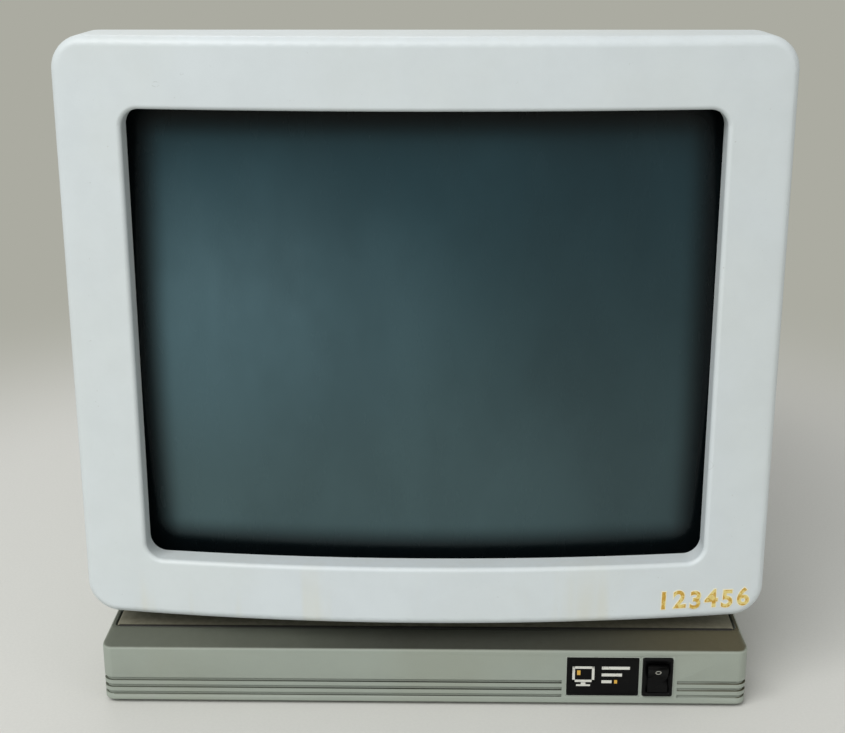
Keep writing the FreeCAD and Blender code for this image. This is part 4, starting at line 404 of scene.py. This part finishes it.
def caseFinish():
    # the case's slope: grime that is brown to the right and thin to the left, with painted shade from the bezel,
    # darkest in the middle
    material, tree, shader, base = mouldedFinish("case_plastic", caseLook)
    split = addNode(tree, "SeparateXYZ", {0: objectPlace(tree)}).outputs
    facing = addNode(tree, "SeparateXYZ", {0: addNode(tree, "TexCoord").outputs["Normal"]}).outputs[2]
    wander = calc(tree, "MULTIPLY", calc(tree, "SUBTRACT", noiseAt(tree, objectPlace(tree), 22.0, 4.0), 0.5), 0.05)
    across = calc(tree, "ADD", calc(tree, "SUBTRACT", split[0], shadeAndGrime["middle"]), wander)
    sides = mixColours(tree, remap(tree, across, -0.05, 0.05), shadeAndGrime["green"], shadeAndGrime["brown"])
    # painted shade under the bezel, strongest near the middle of the slope
    close = remap(tree, calc(tree, "ABSOLUTE", across), shadeAndGrime["reach"], 0.02)
    shadedGrime = mixColours(tree, close, sides, shadeAndGrime["dark"])
    amount = calc(tree, "MULTIPLY", remap(tree, facing, 0.6, 0.95), shadeAndGrime["strength"])
    tree.links.new(mixColours(tree, amount, base, shadedGrime), shader.inputs["Base Color"])
    return material


def coverFinish():
    # the sunk cover, with painted shade: near-black on its upright faces in the seam and along its front edge
    material, tree, shader, base = mouldedFinish("cover_plastic", coverLook)
    facing = addNode(tree, "SeparateXYZ", {0: addNode(tree, "TexCoord").outputs["Normal"]}).outputs[2]
    upright = remap(tree, calc(tree, "ABSOLUTE", facing), 0.6, 0.2)
    along = addNode(tree, "SeparateXYZ", {0: objectPlace(tree)}).outputs[1]
    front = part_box("base_cover")[0].y
    # painted shade in the gap between cover and case
    edge = calc(tree, "MAXIMUM", upright, remap(tree, along, front + 0.0018, front + 0.001))
    tree.links.new(mixColours(tree, edge, base, shadeAndGrime["seam"]), shader.inputs["Base Color"])
    return material


finishes["case_plastic"] = caseFinish()
finishes["cover_plastic"] = coverFinish()


def metalFinish(name, clean, stain, gloss, streaks=400.0, bump=0.08, **fixed):
    material, tree, shader = newMaterial(name, Metallic=1.0, **fixed)
    grain = useGroup(tree, metalGrain, Clean=clean, Stain=stain, Streak_Scale=streaks, Gloss_Base=gloss)
    tree.links.new(grain["Color"], shader.inputs["Base Color"])
    tree.links.new(grain["Roughness"], shader.inputs["Roughness"])
    linkBump(tree, shader, grain["Height"], bump, 0.0001)
    return material


for slot, clean, stain, gloss, streaks in (
    ("plated_steel", colour(190, 190, 184), colour(140, 134, 118), 0.3, 500.0),
    ("black_steel", colour(48, 48, 50), colour(70, 60, 52), 0.35, 500.0),
    ("connector_shell", colour(196, 190, 170), colour(140, 124, 90), 0.28, 700.0),
    ("contact_brass", colour(214, 176, 96), colour(150, 112, 60), 0.25, 900.0),
    ("bare_aluminium", colour(200, 202, 204), colour(150, 150, 148), 0.34, 600.0),
    ("core_iron", colour(86, 84, 84), colour(96, 66, 46), 0.55, 300.0),
    ("coil_copper", colour(176, 92, 52), colour(110, 50, 30), 0.3, 1200.0),
):
    finishes[slot] = metalFinish(slot, clean, stain, gloss, streaks)


def laminateFinish(name, resin, track, gloss):
    # circuit board: resin with a weave, and rows of tracks under the mask
    material, tree, shader = newMaterial(name)
    place = objectPlace(tree, (1, 1, 0.02))
    bricks = addNode(
        tree, "TexBrick",
        {"Vector": place, "Color1": resin, "Color2": mixColours(tree, 0.35, resin, track), "Mortar": track,
         "Scale": 90.0, "Mortar Size": 0.04, "Brick Width": 1.7, "Row Height": 0.25},
        offset=0.37,
    )
    weave = noiseAt(tree, place, 900.0, 2.0)
    base = mixColours(tree, remap(tree, weave, 0.3, 0.7, 0.0, 0.12), bricks.outputs["Color"], colour(210, 200, 160))
    tree.links.new(base, shader.inputs["Base Color"])
    tree.links.new(remap(tree, weave, 0.2, 0.8, gloss - 0.06, gloss + 0.1), shader.inputs["Roughness"])
    linkBump(tree, shader, bricks.outputs["Fac"], 0.15, 0.0001)
    return material


finishes["board_laminate"] = laminateFinish("board_laminate", colour(34, 84, 52), colour(70, 120, 70), 0.35)
finishes["brown_laminate"] = laminateFinish("brown_laminate", colour(128, 92, 56), colour(164, 124, 80), 0.45)


def glassFinish(name, tint, gloss, transmission):
    material, tree, shader = newMaterial(name, Transmission_Weight=transmission, IOR=1.5)
    smear = noiseAt(tree, objectPlace(tree), 60.0, 4.0)
    base = mixColours(tree, remap(tree, smear, 0.4, 0.7, 0.0, 0.25), tint, colour(150, 156, 150))
    tree.links.new(base, shader.inputs["Base Color"])
    tree.links.new(remap(tree, smear, 0.3, 0.7, gloss, gloss + 0.12), shader.inputs["Roughness"])
    return material


finishes["clear_glass"] = glassFinish("clear_glass", colour(214, 222, 218), 0.04, 0.85)
finishes["tube_glass"] = glassFinish("tube_glass", colour(40, 42, 42), 0.35, 0.0)

# screen colours: top and low paint light from dark above to pale below, the pale patch colour paints a reflection,
# rightShade paints shade on the right, deep is the tube's black border and its painted shade
screen = {
    "midZ": 0.1767, "halfWidth": 0.1305, "halfHeight": 0.1052, "corner": 0.016, "fade": 0.017,
    "deep": colour(8, 14, 16), "top": colour(36, 59, 66), "low": colour(66, 87, 90), "paleReflection": colour(78, 104, 112),
    "gloss": 0.2, "specular": 0.22, "rightShade": 0.7,
}


def screenFinish():
    # dark glass over grey phosphor: the tube's black border deepened by painted shade towards the rounded border,
    # painted light from a darker top to a paler bottom, a painted reflection as a pale patch low and to the left, and
    # painted shade over the right side
    material, tree, shader = newMaterial("screen_glass", IOR=1.45, Specular_IOR_Level=screen["specular"])
    border = useGroup(
        tree, roundedWindow, Middle_Z=screen["midZ"], Half_Width=screen["halfWidth"],
        Half_Height=screen["halfHeight"], Corner=screen["corner"],
    )["Distance"]
    split = addNode(tree, "SeparateXYZ", {0: objectPlace(tree)}).outputs
    # painted light: darker at the top, paler low down
    drop = remap(tree, split[2], screen["midZ"] + 0.09, screen["midZ"] - 0.1)
    lit = mixColours(tree, drop, screen["top"], screen["low"])
    across = calc(tree, "MULTIPLY", calc(tree, "ADD", split[0], 0.085), 9.0)
    along = calc(tree, "MULTIPLY", calc(tree, "SUBTRACT", split[2], screen["midZ"] + 0.01), 12.0)
    reach = calc(tree, "SQRT", calc(tree, "ADD", calc(tree, "MULTIPLY", across, across), calc(tree, "MULTIPLY", along, along)))
    cloud = noiseAt(tree, objectPlace(tree, (1, 1, 0.5)), 22.0, 3.0)
    # painted reflection: a pale patch low and to the left
    paleReflection = calc(tree, "MULTIPLY", remap(tree, reach, 1.1, 0.0, 0.0, 0.75), remap(tree, cloud, 0.3, 0.7, 0.6, 1.0))
    reflected = mixColours(tree, paleReflection, lit, screen["paleReflection"])
    # the tube's black border, with painted shade from the bezel's recess
    dim = remap(tree, border, -screen["fade"], -0.002)
    smudge = remap(tree, noiseAt(tree, objectPlace(tree, (1, 1, 0.6)), 14.0, 4.0), 0.35, 0.65, 0.9, 1.06)
    smudged = mixColours(tree, 1.0, reflected, addNode(tree, "CombineColor", {0: smudge, 1: smudge, 2: smudge}).outputs[0], "MULTIPLY")
    # painted shade over the right side
    right = remap(tree, split[0], -0.01, 0.1, 0.0, 1.0 - screen["rightShade"])
    shaded = mixColours(tree, right, smudged, screen["deep"])
    tree.links.new(mixColours(tree, dim, shaded, screen["deep"]), shader.inputs["Base Color"])
    wipe = noiseAt(tree, objectPlace(tree, (1, 1, 0.3)), 80.0, 4.0)
    tree.links.new(remap(tree, wipe, 0.3, 0.7, screen["gloss"], screen["gloss"] + 0.1), shader.inputs["Roughness"])
    linkBump(tree, shader, noiseAt(tree, objectPlace(tree), 2600.0, 1.0), 0.04, 0.00005)
    return material


finishes["screen_glass"] = screenFinish()
missing = sorted(set(slotOf.values()) - set(finishes))
print("finishes built:", len(finishes), "missing:", missing)

for node, thing in cadNodes.items():
    thing.data.materials.clear()
    thing.data.materials.append(finishes[slotOf[node]])

for node in (
    "front_bezel", "rear_housing", "base_cover", "tube_face", "switch_frame", "switch_rocker",
    "badge_plate", "brightness_wheel", "swivel_yoke", "rubber_feet", "mains_inlet", "keyboard_jack", "rear_panel",
):
    smoothTwin(node, finishes[slotOf[node]])
smoothTwin("base_case", finishes["case_plastic"], 20)

port = {
    "wall": 0.0005, "well": 0.0052, "fillGap": 0.0001, "fillSunk": 0.0012, "slant": 0.0012, "width": 0.039,
    "height": 0.0084, "pitch": 0.00276, "rowGap": 0.0028, "socketRadius": 0.00062, "holeRadius": 0.00038,
}


def hollowPort(bm):
    # the solid end of a serial port is opened, leaving its thin shell
    bm.normal_update()
    far = max(corner.co.y for corner in bm.verts)
    end = [face for face in bm.faces if face.normal.y > 0.9 and face.calc_center_median().y > far - 1e-5]
    bmesh.ops.inset_region(bm, faces=end, thickness=port["wall"], use_even_offset=True)
    bmesh.ops.translate(bm, verts=list({corner for face in end for corner in face.verts}), vec=(0, -port["well"], 0))


for node in ("host_port", "printer_port"):
    smoothTwin(node, finishes[slotOf[node]], 35, hollowPort)
print("smooth skins made")


# ---- printed marks and small fittings

def surfaceOf(node):
    bm = bmesh.new()
    bm.from_mesh(cadNodes[node].data)
    tree = BVHTree.FromBMesh(bm)
    bm.free()
    return tree


def standOn(surface, across, up, side=-1):
    # the point and slope of a surface met when looking at it from the front (-1) or the back (1)
    point, normal, index, away = surface.ray_cast(Vector((across, side * 1.0, up)), Vector((0, -side, 0)))
    return point, normal


def addBar(bm, middle, size, depth, lift, surface=None, side=-1, lean=0.0):
    # a flat bar on a face that looks along -Y or +Y, standing lift proud of it
    across, up = middle
    facePlace = standOn(surface, across, up, side)[0].y if surface else 0.0
    place = Matrix.Translation((across, facePlace + side * (lift - depth / 2), up))
    turn = Matrix.Rotation(lean, 4, "Y")
    shape = Matrix.Diagonal((size[0], depth, size[1], 1.0))
    return bmesh.ops.create_cube(bm, size=1.0, matrix=place @ turn @ shape)["verts"]


def addFrame(bm, middle, size, line, depth, lift, surface, side=-1):
    for sign in (-1, 1):
        place = (middle[0], middle[1] + sign * (size[1] - line) / 2)
        addBar(bm, place, (size[0], line), depth, lift, surface, side)
        place = (middle[0] + sign * (size[0] - line) / 2, middle[1])
        addBar(bm, place, (line, size[1]), depth, lift, surface, side)


def addRing(bm, point, axis, radius, line, depth, steps=28):
    # a small ring with a square section, spun about an axis through point
    start = len(bm.verts)
    turn = axis.to_track_quat("Z", "Y").to_matrix().to_4x4()
    corners = []
    for out, up in ((-0.5, 0.0), (0.5, 0.0), (0.5, 1.0), (-0.5, 1.0)):
        corners.append(bm.verts.new(Matrix.Translation(point) @ turn @ Vector((radius + out * line, 0, up * depth))))
    face = bm.faces.new(corners)
    edges = list(face.edges)
    bm.faces.remove(face)
    bmesh.ops.spin(
        bm, geom=edges + corners, cent=point, axis=axis, angle=math.tau, steps=steps, use_merge=True, use_duplicate=False
    )
    bm.verts.ensure_lookup_table()
    return bm.verts[start:]


def closeMesh(name, bm, smoothAngle=35):
    bmesh.ops.remove_doubles(bm, verts=bm.verts, dist=1e-7)
    bmesh.ops.recalc_face_normals(bm, faces=bm.faces)
    return finishMesh(name, bm, smoothAngle)


def printFinish(name, ink, wornInk, wear, gloss, metallic=0.0):
    # ink or foil with worn patches
    material, tree, shader = newMaterial(name, Metallic=metallic)
    patch = remap(tree, noiseAt(tree, objectPlace(tree), 420.0, 5.0, 0.65), 0.62 - wear * 0.3, 0.68 - wear * 0.2)
    fine = remap(tree, noiseAt(tree, objectPlace(tree), 2600.0, 3.0), 0.3, 0.7, 0.0, 0.3)
    worn = calc(tree, "MINIMUM", calc(tree, "ADD", patch, fine), 1.0)
    tree.links.new(mixColours(tree, worn, ink, wornInk), shader.inputs["Base Color"])
    tree.links.new(remap(tree, worn, 0.0, 1.0, gloss, gloss + 0.25), shader.inputs["Roughness"])
    linkBump(tree, shader, worn, 0.1, 0.0001)
    return material


numbers = {
    "marks": "123456", "middle": (0.1312, 0.0524), "pitch": 0.0076, "height": 0.0122, "slope": -0.016,
    "leans": (0.02, -0.03, 0.04, -0.02, 0.03, -0.05), "lifts": (0.0, 0.0004, -0.0002, 0.0003, -0.0001, 0.0005),
    "outline": 0.0007, "bold": 0.0003, "depth": 0.00006, "step": 0.0008,
}


def addNumbers(name, offset, lift, material):
    # a row of plain digits that follows the curve of the bezel's face
    surface = surfaceOf("front_bezel")
    bm = bmesh.new()
    middleX, middleZ = numbers["middle"]
    for index, mark in enumerate(numbers["marks"]):
        text = bpy.data.curves.new(name, "FONT")
        text.body = mark
        text.size = numbers["height"]
        text.align_x = "CENTER"
        text.align_y = "CENTER"
        text.offset = offset
        text.extrude = numbers["depth"]
        holder = bpy.data.objects.new(name, text)
        flat = bpy.data.meshes.new_from_object(holder)
        step = index - (len(numbers["marks"]) - 1) / 2
        x = middleX + step * numbers["pitch"]
        z = middleZ + step * numbers["pitch"] * numbers["slope"] + numbers["lifts"][index]
        upright = Matrix.Rotation(math.radians(90), 4, "X")
        flat.transform(Matrix.Translation((x, 0, z)) @ Matrix.Rotation(numbers["leans"][index], 4, "Y") @ upright)
        digit = bmesh.new()
        digit.from_mesh(flat)
        for cut in range(3):
            bmesh.ops.triangulate(digit, faces=digit.faces)
            long = [edge for edge in digit.edges if edge.calc_length() > numbers["step"]]
            bmesh.ops.subdivide_edges(digit, edges=long, cuts=1)
        for corner in digit.verts:
            corner.co.y += standOn(surface, corner.co.x, corner.co.z)[0].y - lift
        digit.to_mesh(flat)
        digit.free()
        bm.from_mesh(flat)
        bpy.data.objects.remove(holder)
        bpy.data.curves.remove(text)
        bpy.data.meshes.remove(flat)
    return makePiece(name, closeMesh(name, bm), material, "monitor")


creamInk = printFinish("cream_ink", colour(236, 230, 200), colour(222, 222, 206), 0.3, 0.5)
goldFoil = printFinish("gold_foil", colour(188, 140, 12), colour(222, 204, 130), 0.55, 0.42)
addNumbers("numberBacking", numbers["outline"], 0.00005, creamInk)
addNumbers("numberFoil", numbers["bold"], 0.00012, goldFoil)

badge = {"edge": 0.0006, "line": 0.00035, "depth": 0.00012, "lift": 0.00005}


def buildBadge():
    # a pictogram of a screen with lines of text, in a thin frame
    low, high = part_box("badge_plate")
    middle = ((low.x + high.x) / 2, (low.z + high.z) / 2)
    size = (high.x - low.x, high.z - low.z)
    surface = surfaceOf("badge_plate")
    pale, amber = bmesh.new(), bmesh.new()
    look = (badge["depth"], badge["lift"], surface)
    icon = (middle[0] - size[0] * 0.27, middle[1] + size[1] * 0.06)
    addFrame(pale, icon, (0.0104, 0.0082), 0.0012, *look)
    addBar(pale, (icon[0], icon[1] - 0.0049), (0.0022, 0.0012), *look)
    addBar(pale, (icon[0], icon[1] - 0.0058), (0.0066, 0.0009), *look)
    addBar(amber, (icon[0] - 0.0022, icon[1] + 0.0008), (0.0016, 0.0024), *look)
    for row, length in enumerate((0.0132, 0.0096, 0.0048)):
        at = (middle[0] - 0.0005 + length / 2, middle[1] + 0.0045 - row * 0.0036)
        addBar(pale, at, (length, 0.0015), *look)
    addBar(amber, (middle[0] + 0.0062, middle[1] + 0.0045 - 2 * 0.0036), (0.0014, 0.0018), *look)
    paleInk = printFinish("pale_ink", colour(214, 214, 206), colour(180, 180, 172), 0.1, 0.45)
    amberInk = printFinish("amber_ink", colour(216, 168, 62), colour(190, 150, 80), 0.1, 0.45)
    makePiece("badgeMotif", closeMesh("badgeMotif", pale), paleInk, "base")
    makePiece("badgeCursor", closeMesh("badgeCursor", amber), amberInk, "base")


def buildRockerMark():
    low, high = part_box("switch_rocker")
    point, normal = standOn(surfaceOf("switch_rocker"), (low.x + high.x) / 2, high.z - 0.0027)
    bm = bmesh.new()
    addRing(bm, point - normal * 0.00005, normal, 0.0012, 0.0004, 0.00012)
    ink = printFinish("ring_ink", colour(196, 196, 186), colour(150, 150, 142), 0.2, 0.5)
    makePiece("rockerRing", closeMesh("rockerRing", bm), ink, "power_rocker")


def buildRimHighlights():
    # painted highlight: thin pale lines round the two windows of the base front, for the lit edges of their recesses
    surface = surfaceOf("base_case")
    bm = bmesh.new()
    for node in ("badge_plate", "switch_frame"):
        low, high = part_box(node)
        middle = ((low.x + high.x) / 2, (low.z + high.z) / 2)
        size = (high.x - low.x + 0.001, high.z - low.z + 0.001)
        addFrame(bm, middle, size, 0.00034, 0.0003, 0.00005, surface)
    # a pale colour as a painted highlight on the recess edges
    ink = printFinish("rim_highlight", colour(172, 180, 170), colour(150, 156, 146), 0.2, 0.4)
    makePiece("windowRimHighlights", closeMesh("windowRimHighlights", bm), ink, "base")


def addPeg(bm, place, radius, depth, segments=10):
    # a short round peg along Y whose outer end is at place
    middle = Matrix.Translation((place[0], place[1] - depth / 2, place[2]))
    bmesh.ops.create_cone(
        bm, cap_ends=True, segments=segments, radius1=radius, radius2=radius, depth=depth,
        matrix=middle @ Matrix.Rotation(math.radians(90), 4, "X"),
    )


def fillPort(node):
    # the insulator inside the shell with two rows of contacts, and a hole in each nut
    low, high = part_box(node)
    middle = ((low.x + high.x) / 2, (low.z + high.z) / 2)
    face = high.y - port["fillSunk"]
    inside = port["wall"] + port["fillGap"]
    size = (port["width"] - 2 * inside, 0.0038, port["height"] - 2 * inside)
    block = bmesh.new()
    place = Matrix.Translation((middle[0], face - size[1] / 2, middle[1]))
    bmesh.ops.create_cube(block, size=1.0, matrix=place @ Matrix.Diagonal((*size, 1.0)))
    for corner in block.verts:
        if corner.co.z < middle[1]:
            corner.co.x -= math.copysign(port["slant"], corner.co.x - middle[0])
    sides = [edge for edge in block.edges if abs(edge.verts[0].co.y - edge.verts[1].co.y) > 0.001]
    bmesh.ops.bevel(block, geom=sides, offset=0.0011, affect="EDGES", segments=5, profile=0.5, material=-1)
    makePiece(node + "Fill", closeMesh(node + "Fill", block), finishes["dark_plastic"], bodyOf[node])
    rings, holes = bmesh.new(), bmesh.new()
    for count, row in ((13, 0.5), (12, -0.5)):
        for index in range(count):
            x = middle[0] + (index - (count - 1) / 2) * port["pitch"]
            z = middle[1] + row * port["rowGap"]
            addPeg(rings, (x, face + 0.00008, z), port["socketRadius"], 0.0006)
            addPeg(holes, (x, face + 0.00011, z), port["holeRadius"], 0.0006, 8)
    for side in (-1, 1):
        nutPlace = middle[0] + side * (port["width"] + high.x - low.x) / 4
        point = standOn(surfaceOf(node), nutPlace, middle[1], 1)[0]
        addPeg(holes, (nutPlace, point.y + 0.00004, middle[1]), 0.0014, 0.0006, 16)
    makePiece(node + "Contacts", closeMesh(node + "Contacts", rings), finishes["contact_brass"], bodyOf[node])
    makePiece(node + "Holes", closeMesh(node + "Holes", holes), finishes["black_plastic"], bodyOf[node])


def buildScrewSlots():
    # crossed recesses in the two screws of the mains inlet
    low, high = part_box("inlet_screws")
    surface = surfaceOf("inlet_screws")
    headRadius = (high.z - low.z) / 2
    bm = bmesh.new()
    for x in (low.x + headRadius, high.x - headRadius):
        for lean in (math.radians(20), math.radians(110)):
            addBar(bm, (x, (low.z + high.z) / 2), (headRadius * 1.1, 0.0005), 0.0003, 0.00003, surface, 1, lean)
    mesh = closeMesh("inletScrewSlots", bm)
    makePiece("inletScrewSlots", mesh, finishes["black_plastic"], bodyOf["inlet_screws"])


def buildJackContacts():
    # spring wires in the roof of the keyboard socket
    low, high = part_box("keyboard_jack")
    middle = ((low.x + high.x) / 2, (low.z + high.z) / 2)
    bm = bmesh.new()
    for index in range(6):
        x = middle[0] + (index - 2.5) * 0.00127
        place = Matrix.Translation((x, high.y - 0.0062, middle[1] + 0.0019)) @ Matrix.Rotation(math.radians(14), 4, "X")
        bmesh.ops.create_cube(bm, size=1.0, matrix=place @ Matrix.Diagonal((0.00045, 0.0088, 0.0003, 1.0)))
    edges = list(bm.edges)
    bmesh.ops.bevel(bm, geom=edges, offset=0.00006, affect="EDGES", segments=1, profile=0.5, material=-1)
    mesh = closeMesh("jackContacts", bm)
    makePiece("jackContacts", mesh, finishes["contact_brass"], bodyOf["keyboard_jack"])


buildBadge()
buildRockerMark()
buildRimHighlights()
for node in ("host_port", "printer_port"):
    fillPort(node)
buildScrewSlots()
buildJackContacts()
print("marks and contacts added")


# ---- floor, lights and camera

stage = {
    "floorColour": colour(206, 206, 201), "farColour": colour(176, 176, 167), "floorSize": 6.0,
    "nearReach": 0.3, "farReach": 0.75, "worldLight": 0.43, "backdrop": colour(171, 171, 161),
}


def seenRays(tree):
    # 1 where the camera, a reflection or a clear glass looks
    path = addNode(tree, "LightPath").outputs
    rays = calc(tree, "MAXIMUM", path["Is Camera Ray"], path["Is Glossy Ray"])
    return calc(tree, "MAXIMUM", rays, path["Is Transmission Ray"])


def buildStage():
    bm = bmesh.new()
    bmesh.ops.create_grid(bm, x_segments=2, y_segments=2, size=stage["floorSize"])
    mesh = bpy.data.meshes.new("floor")
    bm.to_mesh(mesh)
    bm.free()
    floor = bpy.data.objects.new("floor", mesh)
    scene.collection.objects.link(floor)
    material, tree, shader = newMaterial("floor_paper", Roughness=0.9, Specular_IOR_Level=0.1)
    away = addNode(tree, "VectorMath", {0: objectPlace(tree)}, operation="LENGTH").outputs["Value"]
    fade = remap(tree, away, stage["nearReach"], stage["farReach"])
    mottle = remap(tree, noiseAt(tree, objectPlace(tree), 700.0, 3.0), 0.3, 0.7, 0.985, 1.015)
    toned = mixColours(tree, fade, stage["floorColour"], stage["farColour"])
    grey = addNode(tree, "CombineColor", {0: mottle, 1: mottle, 2: mottle}).outputs[0]
    tree.links.new(mixColours(tree, 1.0, toned, grey, "MULTIPLY"), shader.inputs["Base Color"])
    glow = addNode(tree, "Emission", {"Color": stage["backdrop"], "Strength": 1.0})
    seen = calc(tree, "MULTIPLY", fade, seenRays(tree))
    mixed = addNode(tree, "MixShader", {0: seen, 1: shader.outputs[0], 2: glow.outputs[0]})
    tree.links.new(mixed.outputs[0], tree.nodes["Material Output"].inputs["Surface"])
    floor.data.materials.append(material)

    world = bpy.data.worlds.new("studio")
    world.use_nodes = True
    tree = world.node_tree
    tree.nodes.clear()
    light = addNode(tree, "Background", {"Color": (1.0, 1.0, 0.99, 1), "Strength": stage["worldLight"]})
    seen = addNode(tree, "Background", {"Color": stage["backdrop"], "Strength": 1.0})
    mixed = addNode(tree, "MixShader", {0: seenRays(tree), 1: light.outputs[0], 2: seen.outputs[0]})
    tree.links.new(mixed.outputs[0], tree.nodes.new("ShaderNodeOutputWorld").inputs["Surface"])
    scene.world = world


lamps = {
    # name: place, size across, size up, power in watts
    "softboxAbove": ((-1.3, -2.0, 2.5), 2.7, 2.0, 90.0),
    "sideFill": ((1.9, -1.7, 0.9), 1.2, 1.2, 6.0),
    "backFill": ((-0.4, 1.9, 1.7), 1.4, 1.0, 9.0),
}
aim = Vector((0, -0.02, 0.14))


def buildLamps():
    for name, (place, across, up, power) in lamps.items():
        light = bpy.data.lights.new(name, "AREA")
        light.shape = "RECTANGLE"
        light.size = across
        light.size_y = up
        light.energy = power
        lamp = bpy.data.objects.new(name, light)
        lamp.location = place
        lamp.rotation_euler = (aim - Vector(place)).to_track_quat("-Z", "Y").to_euler()
        scene.collection.objects.link(lamp)


view = {"place": (0.01105, -0.79288, 0.3709), "pitch": -17.5, "yaw": 1.031, "roll": -0.079, "lens": 64.43}


def buildCamera():
    data = bpy.data.cameras.new("camera")
    data.lens = view["lens"]
    data.sensor_width = 36.0
    data.sensor_fit = "HORIZONTAL"
    camera = bpy.data.objects.new("camera", data)
    turn = Matrix.Rotation(math.radians(view["yaw"]), 4, "Z")
    tip = Matrix.Rotation(math.radians(90 + view["pitch"]), 4, "X")
    lean = Matrix.Rotation(math.radians(view["roll"]), 4, "Z")
    camera.matrix_world = Matrix.Translation(view["place"]) @ turn @ tip @ lean
    scene.collection.objects.link(camera)
    scene.camera = camera


buildStage()
buildLamps()
buildCamera()
print("stage, lamps and camera set")
